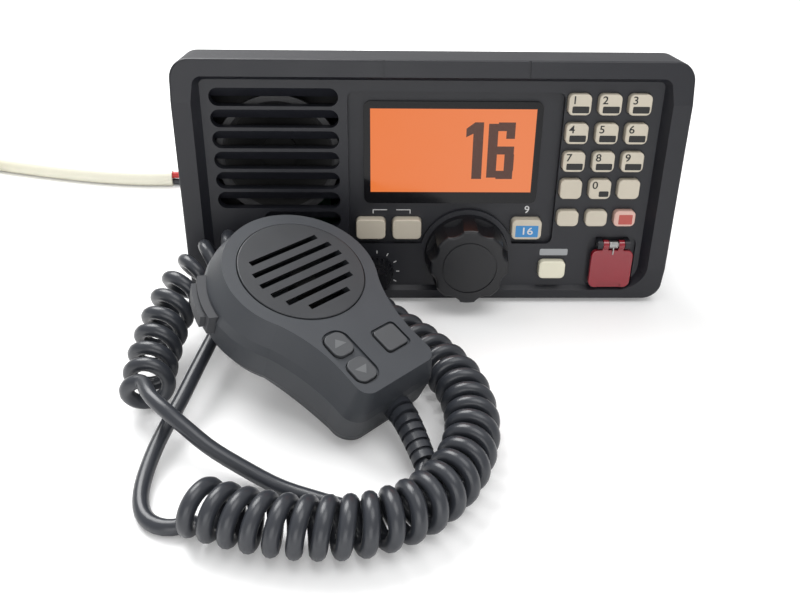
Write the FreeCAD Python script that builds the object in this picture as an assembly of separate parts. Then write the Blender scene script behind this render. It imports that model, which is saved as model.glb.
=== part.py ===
# A fixed VHF marine radio with its hand microphone, curly cord and power cable, as it stands on a table.
# Millimetres. X runs to the right, Y away from the viewer and Z up from the table top.
import FreeCAD, Part
import math
import os

V = FreeCAD.Vector
os.makedirs("parts", exist_ok=True)

# Stance: the radio rests on the panel's rear bottom edge and the heat sink's bottom, leaning back.
LEAN_DEG = 5.447
ORIGIN_Y = 2.7

# Radio body. Y = 0 is the plane of the panel's rim, Z = 0 its bottom edge.
PANEL_W = 220.0
PANEL_H = 110.0
PANEL_D = 25.5
RADIO_D = 109.4
PANEL_CORNER_R = 8.0
PANEL_EDGE_R = 1.0
PANEL_WALL = 3.5
FACET_LOW_Z = 16.5
FACET_HIGH_Z = 92.7
FACET_LOW_Y = 3.4
FACET_HIGH_Y = 3.7
FLOOR_Y = 5.0
FLOOR_BACK_Y = 10.0
RECESS_HALF_W = 101.5
RECESS_Z = (4.9, 103.0)
RECESS_RIM_Y = 2.3
RECESS_SLOPE = 0.6
RECESS_R = (4.0, 12.0)
TITLE_GROOVE_X = (-21.0, 40.0)
TITLE_GROOVE = 0.8

# Louvres over the loudspeaker; the last one is short.
LOUVRE_X = (-94.9, -40.3)
LOUVRE_SHORT_X0 = -74.8
LOUVRE_TOP_Z = 97.9
LOUVRE_PITCH = 9.16
LOUVRE_COUNT = 7
LOUVRE_H = 7.7
LOUVRE_RAMP_H = 4.2
LOUVRE_RAMP_Y = 8.6

# Display pocket, window and liquid crystal cell.
POCKET_Y = 7.5
POCKET_X = (-36.5, 56.5)
POCKET_Z = (27.5, 96.7)
WINDOW_X = (-29.7, 47.8)
WINDOW_Z = (46.7, 92.4)
WINDOW_Y = 6.0
VIEW_X = (-27.3, 45.4)
VIEW_Z = (51.5, 89.5)
LCD_D = 5.0

# Keys: columns, rows and sizes.
KEY_COLUMNS = (62.3, 75.3, 88.2)
KEY_ROWS = (92.15, 79.65, 67.15, 54.65, 40.85)
KEY_W = 9.7
KEY_H = 8.9
KEY_LAST_H = 7.4
KEY_R = 2.2
KEY_FRONT_Y = 2.0
POCKET_KEY_FRONT_Y = 3.2
KEY_GAP = 0.3
KEY_FLANGE = 0.8
KEY_FLANGE_Y = (10.1, 11.0)
KEY_NAMES = (("1", "2", "3"), ("4", "5", "6"), ("7", "8", "9"), ("ce", "0", "ent"), ("menu", "clr", "f"))
POCKET_KEYS = {
    "hl": (-33.4, -20.1, 30.2, 39.7),
    "ch": (-16.9, -3.8, 30.2, 39.7),
    "16": (37.5, 51.1, 30.2, 39.7),
}
POWER_KEY = (51.4, 63.6, 11.1, 19.8)

# Channel knob on its rotary encoder.
CHANNEL_X = 17.3
CHANNEL_Z = 22.3
COLLAR_R = 21.5
CHANNEL_KNOB_R = (19.3, 17.6)
CHANNEL_KNOB_Y = (-11.0, 4.7)
CHANNEL_SCALLOPS = 8
CHANNEL_RING_R = 12.0
SHAFT_R = 3.0
BUSH_R = 4.5
ENCODER_W = 13.0
ENCODER_Y1 = 17.2
RUNNING_GAP = 0.05
KNOB_GAP = 0.5

# Squelch ring with the volume knob inside it, on one twin potentiometer.
TWIN_X = -24.0
TWIN_Z = 13.5
SQUELCH_R = (7.7, 6.6)
SQUELCH_Y = (-2.5, 4.7)
VOLUME_R = (5.4, 4.8)
VOLUME_Y = (-8.0, -2.8)
SQUELCH_STEM_R = 2.6
VOLUME_STEM_R = 1.5
TWIN_BUSH_R = 3.5
TWIN_W = 12.0
KNURL_COUNT = 20

# Distress key under its sprung cover.
DISTRESS_X = (75.1, 94.5)
DISTRESS_Z = (6.7, 25.6)
DISTRESS_POCKET = (73.6, 96.0, 6.4, 31.0)
DISTRESS_POCKET_Y = 6.2
COVER_Y = (1.6, 3.8)
HINGE_Y = 2.6
HINGE_Z = 28.1
KNUCKLE_R = 2.2
PIN_R = 0.9
KNUCKLES_X = ((79.9, 82.4), (87.1, 89.6))
LUGS_X = ((77.3, 79.6), (89.9, 92.2))
SPRING_WIRE_R = 0.3
SPRING_TURNS = 7
SPRING_PITCH = 0.56
DISTRESS_BUTTON_R = 6.0
DISTRESS_BUTTON_Z = 16.2
DISTRESS_BUTTON_Y = 4.4

# Loudspeaker.
SPEAKER_X = -67.6
SPEAKER_Z = 66.5
SPEAKER_R = 27.5
MAGNET_R = 16.0
SPEAKER_HOLLOW_R = (25.0, 11.0)
SPEAKER_HOLLOW_Y = (9.9, 19.5)

# Rear chassis with the heat sink.
FLANGE_Y = (26.5, 29.5)
FLANGE_INSET = 1.5
CHASSIS_HALF_W = 92.0
CHASSIS_TOP_Z = 89.6
CHASSIS_WALL = 3.0
CHASSIS_R = 5.0
REAR_WALL_Y = (95.0, 98.0)
FIN_PITCH = 8.0
FIN_T = 2.2
FIN_HALF_SPAN = 84.0
BRACKET_BORE_R = 2.5
BRACKET_BORE_L = 14.5
BRACKET_BOSS_R = 9.0
BRACKET_BOSS_H = 2.5
BRACKET_Y = 68.0
BRACKET_Z = 49.0
ANTENNA_X = 60.0
ANTENNA_Z = 60.0
ANTENNA_R = 7.9
ANTENNA_L = 16.0
ANTENNA_SQUARE = 25.4
GLAND_X = -60.0
GLAND_Z = 24.0
GLAND_R = 6.0
CORD_GLAND_X = -86.0
CORD_GLAND_Z = 15.1
CORD_GLAND_NOSE_Y = -8.0
SCREW_X = 100.0
SCREW_Z = (10.0, 100.5)
SCREW_R = 1.5
SCREW_BOSS_R = 3.5
BRACKET_END = CHASSIS_HALF_W + BRACKET_BOSS_H

# Circuit boards, the posts that hold them, and the rubber mat behind the keys.
BOARD_X = (-37.0, 99.8)
BOARD_Y = (17.5, 19.1)
BOARD_Z = (15.0, 96.0)
BOARD_POSTS = ((-33.5, 46.0), (-33.5, 93.0), (97.6, 50.0), (97.6, 90.0))
MAT_Y = (12.3, 13.3)
MAIN_BOARD_X = 82.0
MAIN_BOARD_Y = (34.0, 91.0)
MAIN_BOARD_Z = (20.0, 21.6)
MAIN_POSTS = ((-76.0, 40.0), (76.0, 40.0), (-76.0, 85.0), (76.0, 85.0))

# Microphone: origin in the middle of its grille, local x across it, y to its head and z out of its face.
MIC_ORIGIN = (-52.4, -53.2, 50.3)
MIC_YAW_DEG = 44.2
MIC_PITCH_DEG = 21.1
MIC_WALL = 2.4
MIC_FACE_T = 3.0
MIC_SEAM_Z = -9.0
MIC_NECK_Y = -34.0
MIC_HIP_Y = -49.0
MIC_HEAD_END_DEG = 35.0
# Each outline: depth, head radius, half width at the neck and at the hip, bottom end, corner radius.
MIC_FRONT = ((0.0, 30.2, 19.0, 18.0, -58.5, 5.0), (-9.0, 34.5, 23.0, 20.5, -60.5, 6.0))
MIC_BACK = (
    (-9.0, 34.5, 23.0, 20.5, -60.5, 6.0),
    (-13.0, 35.6, 24.4, 22.0, -61.0, 7.0),
    (-24.0, 35.4, 24.2, 21.8, -60.6, 8.0),
    (-31.0, 31.0, 21.2, 18.8, -59.0, 8.0),
    (-37.5, 26.0, 16.5, 14.0, -55.6, 6.0),
)
MIC_BACK_DEPTH = (36.0, 30.0)
MIC_BACK_Y = (34.0, -60.0)
GRILLE_R = 24.6
GRILLE_SPIGOT_R = 22.0
GRILLE_LEDGE_Z = -1.4
GRILLE_PROUD = 0.5
GRILLE_SLOTS = 6
GRILLE_SLOT_Y = 11.0
GRILLE_SLOT_PITCH = 5.6
GRILLE_SLOT_H = 2.3
GRILLE_SLOT_SLANT = 2.0
GRILLE_SLOT_R = 19.5
PTT_ANGLE_DEG = 158.0
PTT_HALF_L = 10.5
PTT_Z = (-19.5, -10.5)
PTT_R = (38.2, 40.1)
MIC_KEY_X = -11.0
MIC_KEY_W = 8.8
MIC_UP_Y = (-40.6, -30.4)
MIC_DOWN_Y = (-53.4, -43.2)
MIC_PILL = (-16.6, -5.4, -54.6, -29.2)
MIC_CHANNEL_KEY = (3.2, 13.2, -47.9, -37.9)
MIC_KEY_FRONT = 0.3
MIC_BOARD_Z = (-7.0, -5.4)
MIC_POSTS = ((12.0, -30.0), (0.0, -51.0))
STUD_Y = -5.0
STUD_HEAD_Z = -36.8
STUD_NUT_Z = (-30.8, -29.2)

# Cords.
CORD_D = 5.6
COIL_D = 21.0
POWER_D = 9.3
CORE_D = 3.9
BOOT_POINTS = (
    (-16.8, -88.8, 13.0), (-13.9, -94.0, 12.4), (-11.3, -100.2, 10.9), (-9.0, -106.6, 9.1), (-6.9, -113.4, 7.5),
)
BOOT_R = (5.4, 3.7)
BOOT_RINGS = 7
MIC_LEAD_POINTS = (
    (-6.9, -113.4, 7.5), (-8.6, -121.8, 4.8), (-14.4, -128.4, 3.2), (-22.9, -131.5, 2.9), (-33.5, -130.2, 2.9),
    (-45.0, -125.6, 2.9), (-57.1, -120.9, 3.2), (-70.0, -114.6, 6.5), (-81.8, -109.2, 10.5), (-90.6, -104.1, 15.5),
    (-98.6, -98.8, 19.3), (-106.0, -91.6, 20.3), (-109.9, -81.2, 19.9),
)
COIL_POINTS = (
    (-110.4, -81.2, 11.5), (-112.0, -68.3, 12.6), (-112.2, -57.8, 14.8), (-111.4, -45.0, 17.9),
    (-109.6, -34.0, 21.6), (-104.9, -20.5, 26.6), (-97.0, -11.4, 30.4), (-86.0, -6.6, 33.3), (-73.0, -4.1, 33.4),
    (-60.3, -3.4, 28.7), (-48.4, -6.7, 21.8), (-37.4, -13.1, 15.6), (-27.7, -23.1, 12.0), (-19.0, -34.0, 11.1),
    (-8.6, -46.2, 11.2), (-0.2, -57.5, 11.0), (6.4, -68.4, 11.2), (10.2, -81.6, 11.2), (11.4, -95.0, 11.0),
    (10.0, -106.2, 11.2), (6.2, -117.8, 11.0), (0.7, -127.2, 11.2), (-6.3, -134.8, 11.0), (-14.6, -140.7, 11.2),
    (-26.6, -145.3, 11.0), (-41.1, -146.3, 11.2), (-55.0, -144.9, 11.0), (-69.8, -141.1, 11.2),
    (-82.5, -136.2, 11.0),
)
PANEL_LEAD_POINTS = (
    (-82.5, -136.2, 2.9), (-90.8, -138.9, 2.9), (-98.6, -135.6, 2.9), (-102.6, -128.2, 2.9), (-104.0, -118.6, 3.4),
    (-103.2, -106.8, 5.2), (-101.0, -96.0, 7.6), (-97.7, -85.2, 10.2), (-95.4, -74.3, 12.4),
    (-93.2, -63.2, 14.4), (-90.6, -50.0, 16.2), (-88.0, -33.0, 17.6), (-86.4, -18.4, 18.3), (-86.0, -6.47, 18.3),
)
POWER_POINTS = (
    (-148.7, 138.2, 4.75), (-164.4, 137.6, 4.75), (-181.0, 139.4, 4.75), (-199.8, 142.6, 4.75),
    (-219.9, 147.5, 4.75), (-240.6, 153.2, 4.75), (-256.4, 158.2, 4.75), (-268.5, 162.4, 4.75),
)
POWER_COIL_CENTRE = (-316.0, 122.4)
POWER_COIL_R = 52.0
POWER_COIL_TURNS = 3.3
POWER_TAIL_POINTS = (
    (-367.9, 89.2, 26.0), (-366.0, 74.2, 18.4), (-361.8, 58.8, 10.6), (-355.6, 44.2, 5.7), (-347.6, 30.0, 4.75),
)
CORE_STEP = 4.6
RED_POINTS = (
    (-62.3, 110.7, 16.4), (-65.0, 121.0, 14.2), (-73.6, 130.4, 11.6), (-86.4, 136.6, 9.6), (-101.0, 138.6, 8.0),
    (-116.6, 137.4, 6.6), (-133.0, 139.0, 6.4), (-148.7, 138.2, 6.7),
)
BLACK_POINTS = (
    (-57.7, 110.7, 16.4), (-58.4, 124.0, 12.2), (-66.6, 134.6, 7.4), (-81.0, 140.2, 4.2), (-98.0, 141.4, 2.4),
    (-116.0, 139.9, 2.1), (-133.0, 136.4, 2.3), (-148.7, 138.2, 2.5),
)
LUG_HOLE_R = 2.6
LUG_R = 5.2
LUG_T = 1.0
CORE_TAIL_L = 34.0

SIN_LEAN = math.sin(math.radians(LEAN_DEG))
COS_LEAN = math.cos(math.radians(LEAN_DEG))
LIFT = PANEL_D * SIN_LEAN
CHASSIS_Z0 = (RADIO_D * SIN_LEAN - LIFT) / COS_LEAN


def box(x0, x1, y0, y1, z0, z1):
    return Part.makeBox(x1 - x0, y1 - y0, z1 - z0, V(x0, y0, z0))


def rod_y(x, z, r, y0, y1):
    return Part.makeCylinder(r, y1 - y0, V(x, y0, z), V(0, 1, 0))


def rod_x(y, z, r, x0, x1):
    return Part.makeCylinder(r, x1 - x0, V(x0, y, z), V(1, 0, 0))


def rod_z(x, y, r, z0, z1):
    return Part.makeCylinder(r, z1 - z0, V(x, y, z0))


def cone_y(x, z, r0, r1, y0, y1):
    return Part.makeCone(r0, r1, y1 - y0, V(x, y0, z), V(0, 1, 0))


def rounded_wire(u0, u1, v0, v1, r_high, r_low, place):
    """A rectangle with rounded corners; place(u, v) gives each point in space."""
    corners = (
        (u0 + r_low, v0 + r_low, r_low, 180),
        (u1 - r_low, v0 + r_low, r_low, 270),
        (u1 - r_high, v1 - r_high, r_high, 0),
        (u0 + r_high, v1 - r_high, r_high, 90),
    )
    arcs = []
    for cu, cv, r, start in corners:
        points = []
        for turn in (0, 45, 90):
            angle = math.radians(start + turn)
            points.append(place(cu + r * math.cos(angle), cv + r * math.sin(angle)))
        arcs.append(points)
    edges = []
    for index, points in enumerate(arcs):
        edges.append(Part.Arc(*points).toShape())
        follower = arcs[(index + 1) % len(arcs)][0]
        if points[2].distanceToPoint(follower) > 1e-6:
            edges.append(Part.makeLine(points[2], follower))
    return Part.Wire(edges)


def pad_y(x0, x1, z0, z1, r, y0, y1, r_low=None):
    """A rounded rectangle, thick from y0 to y1."""
    wire = rounded_wire(x0, x1, z0, z1, r, r if r_low is None else r_low, lambda u, v: V(u, y0, v))
    return Part.Face(wire).extrude(V(0, y1 - y0, 0))


def pad_z(x0, x1, y0, y1, r, z0, z1):
    wire = rounded_wire(x0, x1, y0, y1, r, r, lambda u, v: V(u, v, z0))
    return Part.Face(wire).extrude(V(0, 0, z1 - z0))


def prism_x(profile, x0, x1):
    """A polygon of (y, z) points, thick from x0 to x1."""
    points = [V(x0, y, z) for y, z in profile]
    points.append(points[0])
    return Part.Face(Part.makePolygon(points)).extrude(V(x1 - x0, 0, 0))


def join(shapes):
    return shapes[0].multiFuse(shapes[1:]).removeSplitter()


def edges_at_y(shape, y, least=0.0):
    found = []
    for edge in shape.Edges:
        bounds = edge.BoundBox
        if abs(bounds.YMin - y) < 1e-4 and abs(bounds.YMax - y) < 1e-4 and edge.Length > least:
            found.append(edge)
    return found


def edges_at_z(shape, z):
    return [e for e in shape.Edges if abs(e.BoundBox.ZMin - z) < 1e-4 and abs(e.BoundBox.ZMax - z) < 1e-4]


def route(points, label, limit):
    """Straight runs joined by tangent arcs, and the length of the whole line."""
    corners = [V(*p) for p in points]
    edges = []
    start = corners[0]
    radii = []
    for index in range(1, len(corners) - 1):
        before = corners[index - 1] - corners[index]
        after = corners[index + 1] - corners[index]
        run = min(before.Length, after.Length)
        half_turn = (math.pi - before.getAngle(after)) / 2.0
        radii.append(0.45 * run / math.tan(half_turn))
        back = 0.45 * run
        enter = corners[index] + before.normalize() * back
        leave = corners[index] + after.normalize() * back
        bisector = (before + after).normalize()
        centre = corners[index] + bisector * (back / math.sin(half_turn))
        middle = centre - bisector * radii[-1]
        edges.append(Part.makeLine(start, enter))
        edges.append(Part.Arc(enter, middle, leave).toShape())
        start = leave
    edges.append(Part.makeLine(start, corners[-1]))
    wire = Part.Wire(edges)
    print(label, "length", round(wire.Length, 1), "least radius", round(min(radii), 1), "wanted", limit)
    return wire


def tube(points, diameter, label, limit=3.0):
    wire = route(points, label, round(limit * diameter, 1))
    ring = Part.Circle(V(*points[0]), V(*points[1]) - V(*points[0]), diameter / 2.0).toShape()
    solid = wire.makePipeShell([Part.Wire([ring])], True, True)
    section = math.pi * (diameter / 2.0) ** 2
    print(label, "volume ratio", round(solid.Volume / (section * wire.Length), 4))
    return solid


def on_stand(shape):
    """From the radio's own frame to the table."""
    shape = shape.copy()
    shape.rotate(V(0, 0, 0), V(1, 0, 0), -LEAN_DEG)
    shape.translate(V(0, 0, LIFT))
    return shape


def on_mic(shape):
    """From the microphone's own frame to the table."""
    shape = shape.copy()
    shape.rotate(V(0, 0, 0), V(1, 0, 0), MIC_PITCH_DEG)
    shape.rotate(V(0, 0, 0), V(0, 0, 1), MIC_YAW_DEG)
    shape.translate(V(*MIC_ORIGIN))
    return shape


def save(name, shape):
    shape = shape.copy()
    shape.translate(V(0, -ORIGIN_Y, 0))
    print(name, "valid", shape.isValid(), "solids", len(shape.Solids), "volume", round(shape.Volume, 1))
    shape.exportStep("parts/" + name + ".step")


# Keys of the radio.
def key_boxes():
    boxes = {}
    for row, names in enumerate(KEY_NAMES):
        half_h = (KEY_LAST_H if row == len(KEY_NAMES) - 1 else KEY_H) / 2.0
        for column, name in enumerate(names):
            x = KEY_COLUMNS[column]
            z = KEY_ROWS[row]
            boxes[name] = (x - KEY_W / 2.0, x + KEY_W / 2.0, z - half_h, z + half_h, KEY_FRONT_Y)
    for name, spot in POCKET_KEYS.items():
        boxes[name] = spot + (POCKET_KEY_FRONT_Y,)
    boxes["power"] = POWER_KEY + (KEY_FRONT_Y,)
    return boxes


def key_cap(x0, x1, z0, z1, front):
    cap = pad_y(x0, x1, z0, z1, KEY_R, front, KEY_FLANGE_Y[1])
    cap = cap.makeFillet(0.6, edges_at_y(cap, front))
    flange = pad_y(x0 - KEY_FLANGE, x1 + KEY_FLANGE, z0 - KEY_FLANGE, z1 + KEY_FLANGE, KEY_R, *KEY_FLANGE_Y)
    return join([cap, flange])


def key_hole(x0, x1, z0, z1):
    gap = KEY_GAP
    return pad_y(x0 - gap, x1 + gap, z0 - gap, z1 + gap, KEY_R + gap, 0, FLOOR_BACK_Y + 1)


# Front panel.
def recess():
    def wire_at(y):
        half_w = RECESS_HALF_W - RECESS_SLOPE * y
        inset = RECESS_SLOPE * (y - RECESS_RIM_Y)
        high, low = [r - RECESS_SLOPE * y / 2.0 for r in RECESS_R]
        z0, z1 = RECESS_Z[0] + inset, RECESS_Z[1] - inset
        return rounded_wire(-half_w, half_w, z0, z1, high, low, lambda u, v: V(u, y, v))

    return Part.makeLoft([wire_at(-2.0), wire_at(FLOOR_Y)], True, True)


def louvre(index):
    top = LOUVRE_TOP_Z - index * LOUVRE_PITCH
    x0 = LOUVRE_SHORT_X0 if index == LOUVRE_COUNT - 1 else LOUVRE_X[0]
    stadium = pad_y(x0, LOUVRE_X[1], top - LOUVRE_H, top, LOUVRE_H / 2.0 - 0.01, 4, FLOOR_BACK_Y + 1)
    step = top - LOUVRE_RAMP_H
    profile = (
        (4, top + 1), (FLOOR_Y, top + 1), (FLOOR_Y, top), (LOUVRE_RAMP_Y, step),
        (FLOOR_BACK_Y + 1, step), (FLOOR_BACK_Y + 1, top - LOUVRE_H), (4, top - LOUVRE_H),
    )
    return stadium.common(prism_x(profile, x0 - 1, LOUVRE_X[1] + 1))


def display_pocket():
    pocket = pad_y(*POCKET_X, *POCKET_Z, 3.0, FLOOR_Y - 1, POCKET_Y)
    return pocket.cut(rod_y(CHANNEL_X, CHANNEL_Z, COLLAR_R, 0, POCKET_Y))


def title_groove(x):
    slope = FACET_HIGH_Y / (PANEL_H - FACET_HIGH_Z)
    z0 = RECESS_Z[1]
    y0 = (z0 - FACET_HIGH_Z) * slope
    profile = ((y0 - 2, z0 - 1), (y0 + 0.2, z0 - 1), (FACET_HIGH_Y + 0.4, PANEL_H), (FACET_HIGH_Y - 2, PANEL_H))
    return prism_x(profile, x - TITLE_GROOVE / 2.0, x + TITLE_GROOVE / 2.0)


def hinge_lug(x0, x1):
    post = box(x0, x1, HINGE_Y, DISTRESS_POCKET_Y + 0.5, HINGE_Z - KNUCKLE_R, HINGE_Z + KNUCKLE_R)
    return join([post, rod_x(HINGE_Y, HINGE_Z, KNUCKLE_R, x0, x1)])


def front_panel():
    outline = pad_y(-PANEL_W / 2.0, PANEL_W / 2.0, 0, PANEL_H, PANEL_CORNER_R, 0, PANEL_D)
    profile = (
        (FACET_LOW_Y, 0), (0, FACET_LOW_Z), (0, FACET_HIGH_Z), (FACET_HIGH_Y, PANEL_H),
        (PANEL_D, PANEL_H), (PANEL_D, 0),
    )
    shell = outline.common(prism_x(profile, -PANEL_W / 2.0, PANEL_W / 2.0))
    rim = [e for e in shell.Edges if e.BoundBox.YMax < FACET_HIGH_Y + 0.01 and not is_facet_line(e)]
    shell = shell.makeFillet(PANEL_EDGE_R, rim)
    wall = PANEL_WALL
    half_w = PANEL_W / 2.0 - wall
    cavity = pad_y(-half_w, half_w, wall, PANEL_H - wall, PANEL_CORNER_R - wall, FLOOR_BACK_Y, PANEL_D + 1)
    bosses = []
    for x in (-SCREW_X, SCREW_X):
        for z in SCREW_Z:
            bosses.append(rod_y(x, z, SCREW_BOSS_R, FLOOR_BACK_Y - 1, FLANGE_Y[0]))
    for x, z in BOARD_POSTS:
        bosses.append(rod_y(x, z, 2.0, FLOOR_BACK_Y - 1, BOARD_Y[0]))
    shell = join([shell.cut(cavity)] + bosses)
    cutters = [recess(), display_pocket()]
    for index in range(LOUVRE_COUNT):
        cutters.append(louvre(index))
    for x in TITLE_GROOVE_X:
        cutters.append(title_groove(x))
    for x0, x1, z0, z1, front in key_boxes().values():
        cutters.append(key_hole(x0, x1, z0, z1))
    cutters.append(pad_y(*VIEW_X, *VIEW_Z, 1.5, FLOOR_Y, FLOOR_BACK_Y + 1))
    cutters.append(rod_y(CHANNEL_X, CHANNEL_Z, BUSH_R, 0, FLOOR_BACK_Y + 1))
    cutters.append(rod_y(TWIN_X, TWIN_Z, TWIN_BUSH_R, 0, FLOOR_BACK_Y + 1))
    cutters.append(rod_y(CORD_GLAND_X, CORD_GLAND_Z, GLAND_R - 1, 0, FLOOR_BACK_Y + 1))
    cutters.append(pad_y(*DISTRESS_POCKET, 4.0, 0, DISTRESS_POCKET_Y, 3.0))
    cutters.append(rod_y(CHANNEL_X, CHANNEL_Z, CHANNEL_KNOB_R[0] + KNOB_GAP, -1, FLOOR_Y))
    cutters.append(rod_y(TWIN_X, TWIN_Z, SQUELCH_R[0] + KNOB_GAP, -1, FLOOR_Y))
    middle = (DISTRESS_X[0] + DISTRESS_X[1]) / 2.0
    cutters.append(rod_y(middle, DISTRESS_BUTTON_Z, DISTRESS_BUTTON_R + KEY_GAP, 0, FLOOR_BACK_Y + 1))
    for x in (-SCREW_X, SCREW_X):
        for z in SCREW_Z:
            cutters.append(rod_y(x, z, SCREW_R, FLOOR_BACK_Y + 2, FLANGE_Y[0] + 1))
    shell = shell.cut(cutters)
    shell = join([shell] + [hinge_lug(*span) for span in LUGS_X])
    return shell.cut(rod_x(HINGE_Y, HINGE_Z, PIN_R, LUGS_X[0][0] - 1, LUGS_X[1][1] + 1))


def is_facet_line(edge):
    """True for the two lines across the front where its facets meet."""
    bounds = edge.BoundBox
    return bounds.YLength < 1e-4 and bounds.ZLength < 1e-4 and abs(bounds.YMin) < 1e-4


def display_window():
    plate = pad_y(*WINDOW_X, *WINDOW_Z, 3.0, WINDOW_Y, POCKET_Y)
    return join([plate, pad_y(*VIEW_X, *VIEW_Z, 1.5, POCKET_Y, FLOOR_BACK_Y)])


def lcd_module():
    glass = box(WINDOW_X[0] + 1, WINDOW_X[1] - 1, FLOOR_BACK_Y, FLOOR_BACK_Y + LCD_D, *WINDOW_Z)
    return glass


def front_board():
    return box(*BOARD_X, *BOARD_Y, *BOARD_Z)


def key_mat():
    sheet = [
        box(55.5, 95.0, *MAT_Y, 33.0, 98.5),
        box(-35.0, 95.0, *MAT_Y, 29.8, 41.5),
        box(48.0, 95.0, *MAT_Y, 8.5, 34.0),
    ]
    for x0, x1, z0, z1, front in key_boxes().values():
        sheet.append(rod_y((x0 + x1) / 2.0, max((z0 + z1) / 2.0, BOARD_Z[0] + 2.5), 2.0, MAT_Y[0], BOARD_Y[0]))
    return join(sheet)


# Channel knob, encoder and shaft.
def channel_encoder():
    half = ENCODER_W / 2.0
    body = box(CHANNEL_X - half, CHANNEL_X + half, FLOOR_BACK_Y, ENCODER_Y1, CHANNEL_Z - half, CHANNEL_Z + half)
    bush = rod_y(CHANNEL_X, CHANNEL_Z, BUSH_R, FLOOR_Y, FLOOR_BACK_Y)
    bore = rod_y(CHANNEL_X, CHANNEL_Z, SHAFT_R + RUNNING_GAP, FLOOR_Y - 1, ENCODER_Y1 - 1.5)
    return join([body, bush]).cut(bore)


def channel_shaft():
    return rod_y(CHANNEL_X, CHANNEL_Z, SHAFT_R, CHANNEL_KNOB_Y[0] + 4, ENCODER_Y1 - 2)


def channel_knob():
    front, back = CHANNEL_KNOB_Y
    body = cone_y(CHANNEL_X, CHANNEL_Z, CHANNEL_KNOB_R[1], CHANNEL_KNOB_R[0], front, back)
    scallops = []
    for index in range(CHANNEL_SCALLOPS):
        angle = 2.0 * math.pi * (index + 0.5) / CHANNEL_SCALLOPS
        reach = CHANNEL_KNOB_R[1] + 5.2
        x = CHANNEL_X + reach * math.cos(angle)
        z = CHANNEL_Z + reach * math.sin(angle)
        scallops.append(rod_y(x, z, 6.6, front - 1, back - 3.0))
    body = body.cut(scallops)
    body = body.makeFillet(1.2, edges_at_y(body, front))
    groove = rod_y(CHANNEL_X, CHANNEL_Z, CHANNEL_RING_R + 0.4, front - 1, front + 0.5)
    groove = groove.cut(rod_y(CHANNEL_X, CHANNEL_Z, CHANNEL_RING_R - 0.4, front - 2, front + 1))
    hollow = rod_y(CHANNEL_X, CHANNEL_Z, CHANNEL_KNOB_R[1] - 3.0, front + 9, back + 1)
    hollow = hollow.cut(rod_y(CHANNEL_X, CHANNEL_Z, SHAFT_R + 2.2, front, back - 0.5))
    bore = rod_y(CHANNEL_X, CHANNEL_Z, SHAFT_R, front + 4, back + 1)
    return body.cut([groove, hollow, bore])


# Squelch and volume controls.
def knurled(radii, spans, count):
    front, back = spans
    body = cone_y(TWIN_X, TWIN_Z, radii[1], radii[0], front, back)
    cuts = []
    for index in range(count):
        angle = 2.0 * math.pi * index / count
        x = TWIN_X + (radii[1] + 0.45) * math.cos(angle)
        z = TWIN_Z + (radii[1] + 0.45) * math.sin(angle)
        cuts.append(rod_y(x, z, 0.65, front - 1, back - 1.2))
    return body.cut(cuts)


def dual_potentiometer():
    half = TWIN_W / 2.0
    body = box(TWIN_X - half, TWIN_X + half, FLOOR_BACK_Y, ENCODER_Y1, TWIN_Z - half, TWIN_Z + half)
    bush = rod_y(TWIN_X, TWIN_Z, TWIN_BUSH_R, FLOOR_Y, FLOOR_BACK_Y)
    bore = rod_y(TWIN_X, TWIN_Z, SQUELCH_STEM_R + RUNNING_GAP, FLOOR_Y - 1, 13.0)
    core = rod_y(TWIN_X, TWIN_Z, VOLUME_STEM_R + RUNNING_GAP, 12.0, ENCODER_Y1 - 1)
    return join([body, bush]).cut([bore, core])


def squelch_knob():
    ring = knurled(SQUELCH_R, SQUELCH_Y, KNURL_COUNT)
    stem = rod_y(TWIN_X, TWIN_Z, SQUELCH_STEM_R, SQUELCH_Y[1] - 1, 12.8)
    bore = rod_y(TWIN_X, TWIN_Z, VOLUME_STEM_R + RUNNING_GAP, SQUELCH_Y[0] - 1, 14.0)
    return join([ring, stem]).cut(bore)


def volume_knob():
    cap = knurled(VOLUME_R, VOLUME_Y, KNURL_COUNT - 4)
    return join([cap, rod_y(TWIN_X, TWIN_Z, VOLUME_STEM_R, VOLUME_Y[1] - 1, ENCODER_Y1 - 1.2)])


# Distress cover, its hinge and its key.
def distress_cover():
    plate = pad_y(*DISTRESS_X, *DISTRESS_Z, 3.2, *COVER_Y)
    plate = plate.makeFillet(0.5, edges_at_y(plate, COVER_Y[0]))
    parts = [plate]
    for x0, x1 in KNUCKLES_X:
        parts.append(rod_x(HINGE_Y, HINGE_Z, KNUCKLE_R, x0, x1))
        parts.append(box(x0, x1, COVER_Y[0], COVER_Y[1], DISTRESS_Z[1] - 1, HINGE_Z))
    cover = join(parts)
    middle = (DISTRESS_X[0] + DISTRESS_X[1]) / 2.0
    notch = pad_y(middle - 5.5, middle + 5.5, DISTRESS_Z[0] - 3, DISTRESS_Z[0] + 2.8, 1.5, 0, COVER_Y[0] + 0.8)
    bore = rod_x(HINGE_Y, HINGE_Z, PIN_R + RUNNING_GAP, KNUCKLES_X[0][0] - 1, KNUCKLES_X[1][1] + 1)
    return cover.cut([notch, bore])


def distress_hinge_pin():
    return rod_x(HINGE_Y, HINGE_Z, PIN_R, LUGS_X[0][0], LUGS_X[1][1])


def distress_spring():
    middle = (KNUCKLES_X[0][1] + KNUCKLES_X[1][0]) / 2.0
    coil_r = PIN_R + 0.3 + SPRING_WIRE_R
    half = (SPRING_TURNS - 1) / 2.0
    wires = []
    for index in range(SPRING_TURNS):
        x = middle + (index - half) * SPRING_PITCH
        wires.append(Part.makeTorus(coil_r, SPRING_WIRE_R, V(x, HINGE_Y, HINGE_Z), V(1, 0, 0)))
    leg_y = COVER_Y[0] - SPRING_WIRE_R
    wires.append(rod_z(middle, leg_y, SPRING_WIRE_R, HINGE_Z - 4.4, HINGE_Z))
    return join(wires)


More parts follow.
